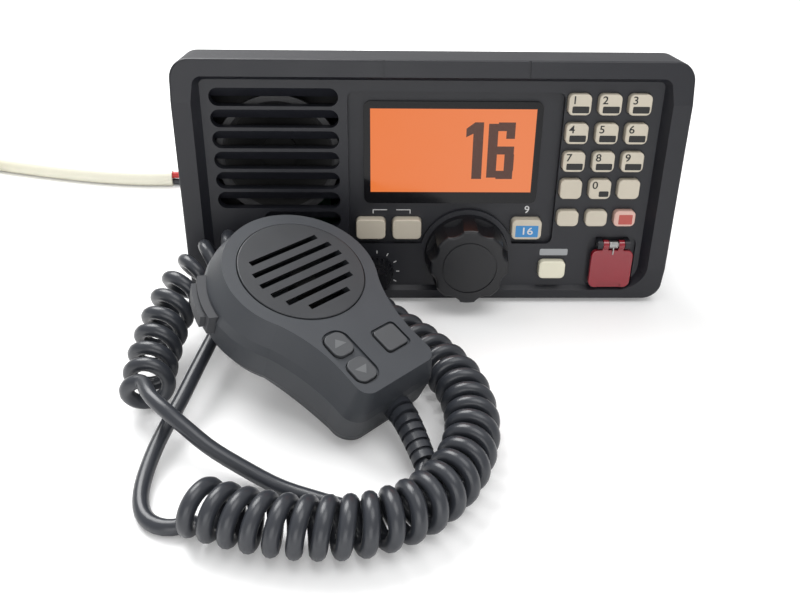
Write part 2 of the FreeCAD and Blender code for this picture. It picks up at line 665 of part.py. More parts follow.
def distress_button():
    middle = (DISTRESS_X[0] + DISTRESS_X[1]) / 2.0
    cap = rod_y(middle, DISTRESS_BUTTON_Z, DISTRESS_BUTTON_R, DISTRESS_BUTTON_Y, KEY_FLANGE_Y[1])
    cap = cap.makeFillet(0.5, edges_at_y(cap, DISTRESS_BUTTON_Y))
    return join([cap, rod_y(middle, DISTRESS_BUTTON_Z, DISTRESS_BUTTON_R + KEY_FLANGE, *KEY_FLANGE_Y)])


# Loudspeaker.
def speaker_frame():
    flange = rod_y(SPEAKER_X, SPEAKER_Z, SPEAKER_R, FLOOR_BACK_Y, 12.0)
    basket = cone_y(SPEAKER_X, SPEAKER_Z, SPEAKER_R - 1.5, MAGNET_R, 12.0, 21.0)
    magnet = rod_y(SPEAKER_X, SPEAKER_Z, MAGNET_R, 21.0, 29.0)
    hollow = cone_y(SPEAKER_X, SPEAKER_Z, *SPEAKER_HOLLOW_R, *SPEAKER_HOLLOW_Y)
    return join([flange, basket, magnet]).cut(hollow)


def speaker_cone():
    """The cone lines the basket, with its dust cap at the bottom."""
    wide, narrow = SPEAKER_HOLLOW_R
    front, back = SPEAKER_HOLLOW_Y
    start = front + 0.8
    wide_here = wide - (wide - narrow) * (start - front) / (back - front)
    outer = cone_y(SPEAKER_X, SPEAKER_Z, wide_here, narrow, start, back)
    inner = cone_y(SPEAKER_X, SPEAKER_Z, wide_here - 0.7, narrow - 0.7, start - 0.1, back - 0.7)
    cap = rod_y(SPEAKER_X, SPEAKER_Z, 8.0, back - 2.6, back)
    return join([outer.cut(inner), cap])


# Rear chassis and what is on it.
def fin_positions():
    count = int(2 * FIN_HALF_SPAN / FIN_PITCH) + 1
    places = []
    for index in range(count):
        x = -FIN_HALF_SPAN + index * FIN_PITCH
        if abs(x - ANTENNA_X) > ANTENNA_SQUARE / 2.0 + 3 and abs(x - GLAND_X) > 12:
            places.append(x)
    return places


def rear_chassis():
    inset = FLANGE_INSET
    half_w = PANEL_W / 2.0 - inset
    flange = pad_y(-half_w, half_w, inset, PANEL_H - inset, PANEL_CORNER_R - inset, *FLANGE_Y)
    tub = pad_y(-CHASSIS_HALF_W, CHASSIS_HALF_W, CHASSIS_Z0, CHASSIS_TOP_Z, CHASSIS_R, FLANGE_Y[1], REAR_WALL_Y[1])
    parts = [flange, tub]
    for x in fin_positions():
        parts.append(box(x - FIN_T / 2.0, x + FIN_T / 2.0, REAR_WALL_Y[1], RADIO_D, CHASSIS_Z0, CHASSIS_TOP_Z - 2))
    for x0, x1 in bracket_boss_spans():
        parts.append(rod_x(BRACKET_Y, BRACKET_Z, BRACKET_BOSS_R, x0, x1))
    solid = join(parts)
    wall = CHASSIS_WALL
    half_in = CHASSIS_HALF_W - wall
    cavity = pad_y(-half_in, half_in, CHASSIS_Z0 + wall, CHASSIS_TOP_Z - wall, CHASSIS_R - wall,
                   FLANGE_Y[0] - 1, REAR_WALL_Y[0])
    inner = []
    for side in (-1, 1):
        start, end = sorted((side * (half_in + 0.5), side * (BRACKET_END - BRACKET_BORE_L - 2)))
        inner.append(rod_x(BRACKET_Y, BRACKET_Z, 6.0, start, end))
    for x, y in MAIN_POSTS:
        inner.append(rod_z(x, y, 3.0, CHASSIS_Z0 + wall - 0.5, MAIN_BOARD_Z[0]))
    solid = join([solid.cut(cavity)] + inner)
    cutters = [rod_y(ANTENNA_X, ANTENNA_Z, ANTENNA_R, REAR_WALL_Y[0] - 1, REAR_WALL_Y[1] + 1)]
    cutters.append(rod_y(GLAND_X, GLAND_Z, GLAND_R, REAR_WALL_Y[0] - 1, REAR_WALL_Y[1] + 1))
    for side in (-1, 1):
        start, end = sorted((side * (BRACKET_END + 1), side * (BRACKET_END - BRACKET_BORE_L)))
        cutters.append(rod_x(BRACKET_Y, BRACKET_Z, BRACKET_BORE_R, start, end))
    for x in (-SCREW_X, SCREW_X):
        for z in SCREW_Z:
            cutters.append(rod_y(x, z, SCREW_R, FLANGE_Y[0] - 1, FLANGE_Y[1] + 1))
    return solid.cut(cutters)


def bracket_boss_spans():
    reach = CHASSIS_HALF_W - 1
    return ((-BRACKET_END, -reach), (reach, BRACKET_END))


def chassis_seal():
    outer = PANEL_W / 2.0 - 0.8
    inner = PANEL_W / 2.0 - 2.9
    ring = pad_y(-outer, outer, 0.8, PANEL_H - 0.8, PANEL_CORNER_R - 0.8, PANEL_D, FLANGE_Y[0])
    return ring.cut(pad_y(-inner, inner, 2.9, PANEL_H - 2.9, PANEL_CORNER_R - 2.9, PANEL_D - 1, FLANGE_Y[0] + 1))


def main_board():
    z0, z1 = MAIN_BOARD_Z
    board = box(-MAIN_BOARD_X, MAIN_BOARD_X, *MAIN_BOARD_Y, z0, z1)
    parts = [board]
    parts.append(box(20, 66, 74, 91, z1, z1 + 9))
    parts.append(box(-70, -48, 60, 86, z1, z1 + 14))
    parts.append(box(-36, 4, 42, 72, z1, z1 + 5))
    parts.append(rod_z(-20, 82, 5, z1, z1 + 16))
    parts.append(rod_z(-6, 82, 5, z1, z1 + 16))
    return join(parts)


def antenna_socket():
    half = ANTENNA_SQUARE / 2.0
    wall = REAR_WALL_Y[1]
    plate = pad_y(ANTENNA_X - half, ANTENNA_X + half, ANTENNA_Z - half, ANTENNA_Z + half, 2.0, wall, wall + 2.0)
    barrel = rod_y(ANTENNA_X, ANTENNA_Z, ANTENNA_R, REAR_WALL_Y[0] - 2, wall + ANTENNA_L)
    bore = rod_y(ANTENNA_X, ANTENNA_Z, 5.2, wall + 4, wall + ANTENNA_L + 1)
    contact = rod_y(ANTENNA_X, ANTENNA_Z, 2.6, wall + 3, wall + ANTENNA_L - 1)
    hole = rod_y(ANTENNA_X, ANTENNA_Z, 1.9, wall + 5, wall + ANTENNA_L)
    return join([join([plate, barrel]).cut(bore), contact]).cut(hole)


def case_screws():
    screws = []
    for x in (-SCREW_X, SCREW_X):
        for z in SCREW_Z:
            shank = rod_y(x, z, SCREW_R, FLOOR_BACK_Y + 3, FLANGE_Y[1])
            head = rod_y(x, z, 3.0, FLANGE_Y[1], FLANGE_Y[1] + 2.2)
            slot = box(x - 2.0, x + 2.0, FLANGE_Y[1] + 1.2, FLANGE_Y[1] + 3, z - 0.4, z + 0.4)
            cross = box(x - 0.4, x + 0.4, FLANGE_Y[1] + 1.2, FLANGE_Y[1] + 3, z - 2.0, z + 2.0)
            screws.append(join([shank, head]).cut([slot, cross]))
    return Part.makeCompound(screws)


def power_gland():
    wall = REAR_WALL_Y[1]
    parts = [
        rod_y(GLAND_X, GLAND_Z, GLAND_R, REAR_WALL_Y[0], wall),
        rod_y(GLAND_X, GLAND_Z, GLAND_R + 1.6, REAR_WALL_Y[0] - 2, REAR_WALL_Y[0]),
        rod_y(GLAND_X, GLAND_Z, GLAND_R + 2.0, wall, wall + 3),
        cone_y(GLAND_X, GLAND_Z, GLAND_R + 1.0, GLAND_R - 0.6, wall + 3, wall + 11),
    ]
    return join(parts)


def cord_gland():
    parts = [
        rod_y(CORD_GLAND_X, CORD_GLAND_Z, GLAND_R - 1, FLOOR_Y, FLOOR_BACK_Y),
        rod_y(CORD_GLAND_X, CORD_GLAND_Z, GLAND_R + 0.5, FLOOR_BACK_Y, FLOOR_BACK_Y + 2),
        rod_y(CORD_GLAND_X, CORD_GLAND_Z, GLAND_R + 2.0, FLOOR_Y - 2, FLOOR_Y),
        cone_y(CORD_GLAND_X, CORD_GLAND_Z, 3.9, GLAND_R, CORD_GLAND_NOSE_Y, FLOOR_Y - 2),
    ]
    body = join(parts)
    rings = []
    for index in range(3):
        y = CORD_GLAND_NOSE_Y + 1.6 + 2.6 * index
        ring = rod_y(CORD_GLAND_X, CORD_GLAND_Z, GLAND_R + 2, y, y + 0.9)
        rings.append(ring.cut(rod_y(CORD_GLAND_X, CORD_GLAND_Z, 3.6, y - 1, y + 2)))
    return body.cut(rings)


# Microphone.
def mic_wire(z, head_r, neck, hip, bottom, corner, inset=0.0):
    """The outline at one depth: head arc, waisted sides and rounded bottom corners."""
    head_r = head_r - inset
    neck = neck - inset
    hip = hip - inset
    bottom = bottom + inset
    corner = max(corner - inset, 1.0)
    end = math.radians(MIC_HEAD_END_DEG)
    shoulder_x = head_r * math.cos(end)
    shoulder_y = -head_r * math.sin(end)
    diagonal = corner * (1.0 - math.sqrt(0.5))

    def p(x, y):
        return V(x, y, z)

    low = bottom + corner
    edges = [
        Part.Arc(p(shoulder_x, shoulder_y), p(0, head_r), p(-shoulder_x, shoulder_y)).toShape(),
        Part.Arc(p(-shoulder_x, shoulder_y), p(-neck, MIC_NECK_Y), p(-hip, MIC_HIP_Y)).toShape(),
        Part.makeLine(p(-hip, MIC_HIP_Y), p(-hip, low)),
        Part.Arc(p(-hip, low), p(-hip + diagonal, bottom + diagonal), p(-hip + corner, bottom)).toShape(),
        Part.makeLine(p(-hip + corner, bottom), p(hip - corner, bottom)),
        Part.Arc(p(hip - corner, bottom), p(hip - diagonal, bottom + diagonal), p(hip, low)).toShape(),
        Part.makeLine(p(hip, low), p(hip, MIC_HIP_Y)),
        Part.Arc(p(hip, MIC_HIP_Y), p(neck, MIC_NECK_Y), p(shoulder_x, shoulder_y)).toShape(),
    ]
    return Part.Wire(edges)


def mic_solid(sections, inset=0.0):
    return Part.makeLoft([mic_wire(*section, inset) for section in sections], True, True)


def behind_back(inset):
    """Everything behind the back face, which runs closer to the front at the bottom end."""
    high, low = MIC_BACK_Y
    deep, shallow = MIC_BACK_DEPTH
    slope = (deep - shallow) / (high - low)
    far = 30.0
    profile = (
        (high + far, -(deep + far * slope) + inset), (low - far, -(shallow - far * slope) + inset),
        (low - far, -80.0), (high + far, -80.0),
    )
    return prism_x(profile, -60, 60)


def mic_key_pads(inset, z0, z1):
    """The three face keys, smaller by the inset: names and solids."""
    half = MIC_KEY_W / 2.0 - inset
    pads = {}
    for name, span in (("up", MIC_UP_Y), ("down", MIC_DOWN_Y)):
        y0, y1 = span
        pads[name] = pad_z(MIC_KEY_X - half, MIC_KEY_X + half, y0 + inset, y1 - inset, 3.2, z0, z1)
    x0, x1, y0, y1 = MIC_CHANNEL_KEY
    pads["channel"] = pad_z(x0 + inset, x1 - inset, y0 + inset, y1 - inset, 1.6, z0, z1)
    return pads


def ptt_box(u0, u1, half_l, z0, z1):
    shape = box(u0, u1, -half_l, half_l, z0, z1)
    shape.rotate(V(0, 0, 0), V(0, 0, 1), PTT_ANGLE_DEG)
    return shape


def ptt_button():
    low_r, high_r = PTT_R
    z0, z1 = PTT_Z
    base = rod_z(0, 0, low_r, z0, z1).common(ptt_box(29, 50, PTT_HALF_L, z0, z1))
    top = rod_z(0, 0, high_r, z0 + 1.6, z1 - 1.6).common(ptt_box(29, 50, PTT_HALF_L - 2.2, z0 + 1.6, z1 - 1.6))
    flange = ptt_box(28.0, 29.6, PTT_HALF_L + 1.2, z0 - 1.2, z1 + 0.9)
    return join([base, top, flange])


def mic_front_shell():
    outer = mic_solid(MIC_FRONT)
    face = MIC_FRONT[0]
    blend = MIC_FACE_T / -MIC_SEAM_Z
    inner_face = [-MIC_FACE_T] + [face[i] + blend * (MIC_FRONT[1][i] - face[i]) for i in range(1, 6)]
    inner = mic_solid([inner_face, MIC_FRONT[1]], MIC_WALL)
    shell = outer.cut(inner)
    for x, y in MIC_POSTS:
        shell = shell.fuse(rod_z(x, y, 1.6, MIC_BOARD_Z[1], -MIC_FACE_T + 0.5))
    ring = GRILLE_R + 0.4
    cutters = [rod_z(0, 0, ring, GRILLE_LEDGE_Z, 1), rod_z(0, 0, GRILLE_SPIGOT_R, -8, 1)]
    cutters.append(pad_z(*MIC_PILL, 5.0, -1.0, 1))
    x0, x1, y0, y1 = MIC_CHANNEL_KEY
    cutters.append(pad_z(x0 - 1, x1 + 1, y0 - 1, y1 + 1, 2.0, -1.0, 1))
    cutters.extend(mic_key_pads(-0.25, -8, 1).values())
    return shell.cut(cutters).removeSplitter()


def mic_back_shell():
    outer = mic_solid(MIC_BACK).cut(behind_back(0.0))
    inner = mic_solid(MIC_BACK, MIC_WALL).cut(behind_back(MIC_WALL))
    z0, z1 = PTT_Z
    slot = ptt_box(28, 50, PTT_HALF_L + 0.35, z0 - 0.35, z1 + 0.35)
    stud = rod_z(0, STUD_Y, 4.0, -60, -20)
    return outer.cut([inner, slot, stud])


def mic_grille():
    disc = rod_z(0, 0, GRILLE_R, GRILLE_LEDGE_Z, GRILLE_PROUD)
    disc = disc.makeFillet(0.4, edges_at_z(disc, GRILLE_PROUD))
    body = join([disc, rod_z(0, 0, GRILLE_SPIGOT_R, -MIC_FACE_T, GRILLE_LEDGE_Z)])
    slots = []
    for index in range(GRILLE_SLOTS):
        y = GRILLE_SLOT_Y - index * GRILLE_SLOT_PITCH
        half = math.sqrt(GRILLE_SLOT_R ** 2 - y ** 2)
        low, high = y - GRILLE_SLOT_H / 2.0, y + GRILLE_SLOT_H / 2.0
        slant = GRILLE_SLOT_SLANT
        profile = ((high, 1), (low, 1), (low + slant, -MIC_FACE_T - 1), (high + slant, -MIC_FACE_T - 1))
        slots.append(prism_x(profile, -half, half))
    return body.cut(slots)


def mic_board():
    z0, z1 = MIC_BOARD_Z
    board = box(-15.5, 15.5, -54, -26, z0, z1)
    capsule = rod_z(0, -2, 5, -9.5, -3.4)
    arm = box(-4, 4, -26, 2, -9.5, -7.9)
    tie = box(-4, 4, -28, -24, -9.5, z0)
    return join([board, tie, arm, capsule])


def mic_key(name):
    cap = mic_key_pads(0.0, -4.0, MIC_KEY_FRONT)[name]
    cap = cap.makeFillet(0.35, edges_at_z(cap, MIC_KEY_FRONT))
    return join([cap, mic_key_pads(-0.7, -4.0, -3.1)[name]])


def hanger_stud():
    stem = rod_z(0, STUD_Y, 4.0, STUD_HEAD_Z, STUD_NUT_Z[0])
    head = rod_z(0, STUD_Y, 6.5, STUD_HEAD_Z - 2.2, STUD_HEAD_Z)
    return join([stem, head, rod_z(0, STUD_Y, 5.5, *STUD_NUT_Z)])


def mic_boot(back_shell):
    wire = route(BOOT_POINTS, "mic_boot", 0)
    core = tube(BOOT_POINTS, 2.0 * BOOT_R[1], "mic_boot core")
    parts = [core]
    start, end = BOOT_R
    for index in range(BOOT_RINGS):
        share = (index + 0.35) / BOOT_RINGS
        places = wire.discretize(Number=201)
        spot = places[int(200 * share)]
        heading = places[int(200 * share) + 1] - spot
        radius = start + (end + 0.5 - start) * share
        parts.append(Part.makeCylinder(radius, 2.7, spot, heading))
    return join(parts).cut(back_shell)


# Power cable.
def power_cable_coil():
    outer = POWER_COIL_R + POWER_D / 2.0
    inner = POWER_COIL_R - POWER_D / 2.0
    height = POWER_D * (POWER_COIL_TURNS + 1.0)
    x, y = POWER_COIL_CENTRE
    return rod_z(x, y, outer, 0, height).cut(rod_z(x, y, inner, -1, height + 1))


def cable_terminals():
    pieces = []
    end = V(*POWER_TAIL_POINTS[-1])
    heading = (end - V(*POWER_TAIL_POINTS[-2]))
    heading.z = 0.0
    heading.normalize()
    across = V(-heading.y, heading.x, 0)
    for side in (-1.0, 1.0):
        start = end + across * (side * CORE_STEP / 2.0)
        bend = start + heading * (CORE_TAIL_L * 0.45) + across * (side * 3.0) + V(0, 0, -0.5)
        stop = start + heading * CORE_TAIL_L + across * (side * 9.5) + V(0, 0, -1.4)
        points = [tuple(start), tuple(bend), tuple(stop)]
        core = tube(points, CORE_D, "terminal core")
        away = (stop - bend).normalize()
        barrel = Part.makeCylinder(CORE_D / 2.0 + 0.5, 7.0, stop - away * 2.0, away)
        eye = stop + away * (5.0 + LUG_R)
        eye.z = stop.z - LUG_T / 2.0
        lug = Part.makeCylinder(LUG_R, LUG_T, eye).cut(Part.makeCylinder(LUG_HOLE_R, LUG_T * 3, eye - V(0, 0, 1)))
        pieces.append(join([core, barrel, lug]))
    return Part.makeCompound(pieces)


def save_radio():
    """Save the radio's nodes; the two glands are returned, because cords end on them."""
    makers = (
        front_panel, display_window, lcd_module, key_mat, front_board, channel_encoder, channel_shaft,
        channel_knob, dual_potentiometer, squelch_knob, volume_knob, distress_cover, distress_hinge_pin,
        distress_spring, distress_button, speaker_frame, speaker_cone, rear_chassis, chassis_seal,
        main_board, antenna_socket, case_screws,
    )
    for maker in makers:
        save(maker.__name__, on_stand(maker()))
    for name, spot in key_boxes().items():
        save("key_" + name, on_stand(key_cap(*spot)))
    glands = [on_stand(power_gland()), on_stand(cord_gland())]
    save("power_gland", glands[0])
    save("cord_gland", glands[1])
    return glands


def save_microphone():
    back_shell = on_mic(mic_back_shell())
    boot = mic_boot(back_shell)
    save("mic_back_shell", back_shell)
    save("mic_boot", boot)
    for maker in (mic_front_shell, mic_grille, ptt_button, mic_board, hanger_stud):
        save(maker.__name__, on_mic(maker()))
    for name in ("up", "down", "channel"):
        save("mic_" + name + "_key", on_mic(mic_key(name)))
    return boot


def trimmed(shape, neighbours):
    """The largest piece that is left of a cord where it meets its neighbours."""
    return max(shape.cut(neighbours).Solids, key=lambda solid: solid.Volume)


def save_cords(power_end, panel_end, boot):
    """Each cord stops at the face of what it comes out of."""
    coil = trimmed(tube(COIL_POINTS, COIL_D, "cord_coil", 1.0), [boot])
    save("cord_coil", coil)
    save("mic_lead", trimmed(tube(MIC_LEAD_POINTS, CORD_D, "mic_lead"), [coil, boot]))
    save("panel_lead", trimmed(tube(PANEL_LEAD_POINTS, CORD_D, "panel_lead"), [coil, panel_end]))
    power_coil = power_cable_coil()
    save("power_cable_coil", power_coil)
    near = tube(POWER_POINTS, POWER_D, "power_cable", 5.0)
    tail = tube(POWER_TAIL_POINTS, POWER_D, "power_cable tail", 5.0)
    cable = Part.makeCompound([near, tail])
    save("power_cable", cable)
    cores = []
    for points, label in ((RED_POINTS, "red core"), (BLACK_POINTS, "black core")):
        cores.append(trimmed(tube(points, CORE_D, label, 5.0), [power_end, cable]))
    save("power_leads", Part.makeCompound(cores))
    save("cable_terminals", cable_terminals().cut(cable))


save_cords(*save_radio(), save_microphone())
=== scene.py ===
# %% [markdown]
# A fixed marine radio stands on a pale table with its hand microphone lying on its curly cord.
# The imported solids give every hard part its true size and place, so this first step only loads them.
# They could be drawn again in Blender, but the solids already fit each other.
# %% Frame
import bpy
import math
from mathutils import Matrix, Vector


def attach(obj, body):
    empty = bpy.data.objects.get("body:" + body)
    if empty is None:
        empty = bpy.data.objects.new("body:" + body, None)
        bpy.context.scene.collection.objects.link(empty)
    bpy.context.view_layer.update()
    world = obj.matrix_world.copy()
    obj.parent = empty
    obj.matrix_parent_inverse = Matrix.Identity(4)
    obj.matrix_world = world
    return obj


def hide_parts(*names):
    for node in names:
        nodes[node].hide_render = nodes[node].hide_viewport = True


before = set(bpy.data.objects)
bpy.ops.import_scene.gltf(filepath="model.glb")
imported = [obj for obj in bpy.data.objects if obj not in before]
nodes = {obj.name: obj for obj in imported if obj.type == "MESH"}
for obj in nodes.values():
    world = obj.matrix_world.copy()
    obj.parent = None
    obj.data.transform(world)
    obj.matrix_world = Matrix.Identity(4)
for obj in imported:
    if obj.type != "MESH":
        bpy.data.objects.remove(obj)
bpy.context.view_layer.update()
MM = 0.001

# %% [markdown]
# The radio leans back on the table and the microphone lies askew. Each has a frame of its own,
# so that a mark is placed by its distances across, along and out of the thing it is on. Marks could be
# turned by hand one by one, but a matrix for each frame keeps them flush when a number changes.
# %% Frames of the radio and the microphone
ORIGIN_Y = 2.7 * MM
LEAN = math.radians(5.447)
PANEL_D = 25.5 * MM
LIFT = PANEL_D * math.sin(LEAN)
RADIO = Matrix.Translation((0, -ORIGIN_Y, LIFT)) @ Matrix.Rotation(-LEAN, 4, "X")
MIC_ORIGIN = Vector((-52.4, -53.2, 50.3)) * MM
MIC_YAW = math.radians(44.2)
MIC_PITCH = math.radians(21.1)
MIC = (
    Matrix.Translation(MIC_ORIGIN - Vector((0, ORIGIN_Y, 0)))
    @ Matrix.Rotation(MIC_YAW, 4, "Z")
    @ Matrix.Rotation(MIC_PITCH, 4, "X")
)
FACING = Matrix.Rotation(math.radians(90), 4, "X")
print("the radio leans back", round(math.degrees(LEAN), 1), "degrees")


def on_panel(x, y, z):
    """A frame at a place across, into and up the radio. Its own axes go right, up and to the viewer."""
    return RADIO @ Matrix.Translation((x * MM, y * MM, z * MM)) @ FACING


# %% [markdown]
# The photograph looks down at the radio. The camera was fitted to the side rims and to the top and bottom
# edges of the panel, with the usual size of such a radio. Its place is in millimetres, across and along
# from the middle of the panel's front bottom edge and up from the table. A constraint could aim a camera,
# but three axes worked out from three angles keep the small roll as well.
# %% Camera
CAMERA_AT = Vector((-22.4, -322.3, 204.64)) * MM
CAMERA_DOWN = math.radians(32.083)
CAMERA_YAW = math.radians(-1.636)
CAMERA_ROLL = math.radians(-0.869)
FOCAL_PX = 809.34
PHOTO_W_PX = 800
SENSOR_MM = 36.0
NEAREST_SEEN = 0.01


def make_camera():
    data = bpy.data.cameras.new("camera")
    data.sensor_width = SENSOR_MM
    data.lens = FOCAL_PX / PHOTO_W_PX * SENSOR_MM
    data.clip_start = NEAREST_SEEN
    turn = Matrix.Rotation(CAMERA_YAW, 3, "Z")
    ahead = turn @ Vector((0, math.cos(CAMERA_DOWN), -math.sin(CAMERA_DOWN)))
    below = turn @ Vector((0, -math.sin(CAMERA_DOWN), -math.cos(CAMERA_DOWN)))
    right = turn @ Vector((1, 0, 0))
    right_rolled = right * math.cos(CAMERA_ROLL) + below * math.sin(CAMERA_ROLL)
    below_rolled = below * math.cos(CAMERA_ROLL) - right * math.sin(CAMERA_ROLL)
    axes = Matrix((right_rolled, -below_rolled, -ahead)).transposed().to_4x4()
    camera = bpy.data.objects.new("camera", data)
    camera.matrix_world = Matrix.Translation(CAMERA_AT - Vector((0, ORIGIN_Y, 0))) @ axes
    bpy.context.scene.collection.objects.link(camera)
    bpy.context.scene.camera = camera


make_camera()
print("camera at", [round(c, 3) for c in bpy.context.scene.camera.location])

# %% [markdown]
# The curly cord is one cord. It leaves the gland on the panel, lies along the table, winds into a coil
# and ends in the boot of the microphone. A Screw modifier winds a straight coil, but this one bends, so a
# loop walks along the coil's smooth route and works out each turn. Inside a bend the turns lie closer.
# %% Routes of the cords
CORD_D = 5.6
HELIX_R = 7.65
POINTS_PER_TURN = 14
# How finely Blender draws a curve between its points, on a plain route and in the coil, and round its bevel.
ROUTE_STEPS = 6
TURN_STEPS = 3
ROUND_STEPS = 4
PANEL_LEAD = (
    (-90.8, -138.9, 2.9), (-98.6, -135.6, 2.9), (-102.6, -128.2, 2.9), (-104.0, -118.6, 3.4),
    (-103.2, -106.8, 5.2), (-101.0, -96.0, 7.6), (-97.7, -85.2, 10.2), (-95.4, -74.3, 12.4),
    (-93.2, -63.2, 14.4), (-90.6, -50.0, 16.2), (-88.0, -33.0, 17.6), (-86.4, -18.4, 18.3),
    (-86.0, -6.47, 18.3),
)
COIL_ROUTE = (
    (-110.4, -81.2, 11.5), (-112.0, -68.3, 12.6), (-112.2, -57.8, 14.8), (-111.4, -45.0, 17.9),
    (-109.6, -34.0, 21.6), (-104.9, -20.5, 26.6), (-97.0, -11.4, 30.4), (-86.0, -6.6, 33.3),
    (-73.0, -4.1, 33.4), (-60.3, -3.4, 28.7), (-48.4, -6.7, 21.8), (-37.4, -13.1, 15.6),
    (-27.7, -23.1, 12.0), (-19.0, -34.0, 11.1), (-8.6, -46.2, 11.2), (-0.2, -57.5, 11.0),
    (6.4, -68.4, 11.2), (10.2, -81.6, 11.2), (11.4, -95.0, 11.0), (10.0, -106.2, 11.2),
    (6.2, -117.8, 11.0), (0.7, -127.2, 11.2), (-6.3, -134.8, 11.0), (-14.6, -140.7, 11.2),
    (-26.6, -145.3, 11.0), (-41.1, -146.3, 11.2), (-55.0, -144.9, 11.0), (-69.8, -141.1, 11.2),
    (-82.5, -136.2, 11.0),
)
MIC_LEAD = (
    (-6.9, -113.4, 7.5), (-8.6, -121.8, 4.8), (-14.4, -128.4, 3.2), (-22.9, -131.5, 2.9),
    (-33.5, -130.2, 2.9), (-45.0, -125.6, 2.9), (-57.1, -120.9, 3.2), (-70.0, -114.6, 6.5),
    (-81.8, -109.2, 10.5), (-90.6, -104.1, 15.5), (-98.6, -98.8, 19.3), (-106.0, -91.6, 20.3),
)
# How far the coil goes forward in one turn, by the distance along it from its left end.
PITCHES = ((0.0, 9.6), (150.0, 9.4), (225.0, 8.4), (290.0, 7.0), (370.0, 6.8))


def spline_curve(name, points, diameter=0.0):
    """An open NURBS curve through the room at control points in millimetres."""
    data = bpy.data.curves.new(name, "CURVE")
    data.dimensions = "3D"
    spline = data.splines.new("NURBS")
    spline.points.add(len(points) - 1)
    for point, place in zip(spline.points, points):
        point.co = (place[0] * MM, place[1] * MM - ORIGIN_Y, place[2] * MM, 1.0)
        point.radius = diameter * MM / 2.0
    spline.order_u = 3
    spline.use_endpoint_u = True
    data.resolution_u = ROUTE_STEPS
    # The bevel is one metre times each point's radius, because Blender widens a curve's box by that radius.
    data.bevel_depth = 1.0 if diameter else 0.0
    data.bevel_resolution = ROUND_STEPS
    data.use_fill_caps = diameter > 0
    curve = bpy.data.objects.new(name, data)
    bpy.context.scene.collection.objects.link(curve)
    return curve


def points_along(route):
    """Points in millimetres on the smooth curve of a route."""
    curve = spline_curve("route", route)
    depsgraph = bpy.context.evaluated_depsgraph_get()
    mesh = bpy.data.meshes.new_from_object(curve.evaluated_get(depsgraph))
    back = Vector((0, ORIGIN_Y, 0))
    points = [(vertex.co + back) / MM for vertex in mesh.vertices]
    bpy.data.objects.remove(curve)
    bpy.data.meshes.remove(mesh)
    return points


def pitch_at(distance):
    for (near, low), (far, high) in zip(PITCHES, PITCHES[1:]):
        if distance <= far:
            return low + (high - low) * (distance - near) / (far - near)
    return PITCHES[-1][1]


def helix(route):
    """Control points of the turns from the route's first point, where they start on top, to its last."""
    line = points_along(route)
    steps = [(b - a).length for a, b in zip(line, line[1:])]
    phases = [0.0]
    travelled = 0.0
    for step in steps:
        phases.append(phases[-1] + step / pitch_at(travelled + step / 2.0))
        travelled += step
    whole_turns = round(phases[-1] - 0.5) + 0.5
    stretch = whole_turns / phases[-1]
    up = Vector((0, 0, 1))
    turns = []
    count = int(whole_turns * POINTS_PER_TURN)
    index = 0
    for number in range(count + 1):
        phase = number * whole_turns / count / stretch
        while index < len(steps) - 1 and phases[index + 1] < phase:
            index += 1
        share = (phase - phases[index]) / (phases[index + 1] - phases[index])
        centre = line[index].lerp(line[index + 1], min(max(share, 0.0), 1.0))
        heading = (line[index + 1] - line[index]).normalized()
        side = heading.cross(up).normalized()
        top = side.cross(heading)
        angle = -2.0 * math.pi * phase * stretch
        turns.append(centre + (top * math.cos(angle) + side * math.sin(angle)) * HELIX_R)
    print("coil route", round(travelled, 1), "mm, turns", whole_turns)
    return turns


# %% [markdown]
# A cord's true length is what its own line measures. A typed number would go stale when a point moves,
# so the length is added up here from the same smooth curve and printed.
# %% Curly cord
def line_length(points):
    line = points_along(points)
    return sum((b - a).length for a, b in zip(line, line[1:])) * MM


curly_points = list(reversed(PANEL_LEAD)) + list(reversed(helix(COIL_ROUTE))) + list(reversed(MIC_LEAD))
CURLY_LENGTH = line_length(curly_points)
print("curly cord", round(CURLY_LENGTH, 3), "m")
curly_cord = spline_curve("curly_cord", curly_points, CORD_D)
curly_cord.data.resolution_u = TURN_STEPS
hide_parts("panel_lead", "cord_coil", "mic_lead")
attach(curly_cord, "radio")

# %% [markdown]
# The power cable has a cream sheath. At the radio's end the sheath is cut back and its red and black cores
# run on into the rear gland. The length that the photograph doesn't show is wound into a ring beside it.
# Each is a curve with a round bevel, because that needs only a route and a thickness.
# %% Power cable
POWER_D = 9.3
CORE_D = 3.9
POWER_ROUTE = (
    (-148.7, 138.2, 4.75), (-164.4, 137.6, 4.75), (-181.0, 139.4, 4.75), (-199.8, 142.6, 4.75),
    (-219.9, 147.5, 4.75), (-240.6, 153.2, 4.75), (-256.4, 158.2, 4.75), (-268.5, 162.4, 4.75),
)
POWER_TAIL = (
    (-367.9, 89.2, 26.0), (-366.0, 74.2, 18.4), (-361.8, 58.8, 10.6), (-355.6, 44.2, 5.7),
    (-347.6, 30.0, 4.75),
)
POWER_COIL_CENTRE = (-316.0, 122.4)
POWER_COIL_R = 52.6
POWER_COIL_TURNS = 3.3
POWER_COIL_START = 68.0
POWER_COIL_LIFT = 9.4
RED_ROUTE = (
    (-62.3, 110.7, 16.4), (-65.0, 121.0, 14.2), (-73.6, 130.4, 11.6), (-86.4, 136.6, 9.6),
    (-101.0, 138.6, 8.0), (-116.6, 137.4, 6.6), (-133.0, 139.0, 6.4), (-148.7, 138.2, 6.7),
)
BLACK_ROUTE = (
    (-57.7, 110.7, 16.4), (-58.4, 124.0, 12.2), (-66.6, 134.6, 7.4), (-81.0, 140.2, 4.2),
    (-98.0, 141.4, 2.4), (-116.0, 139.9, 2.1), (-133.0, 136.4, 2.3), (-148.7, 138.2, 2.5),
)


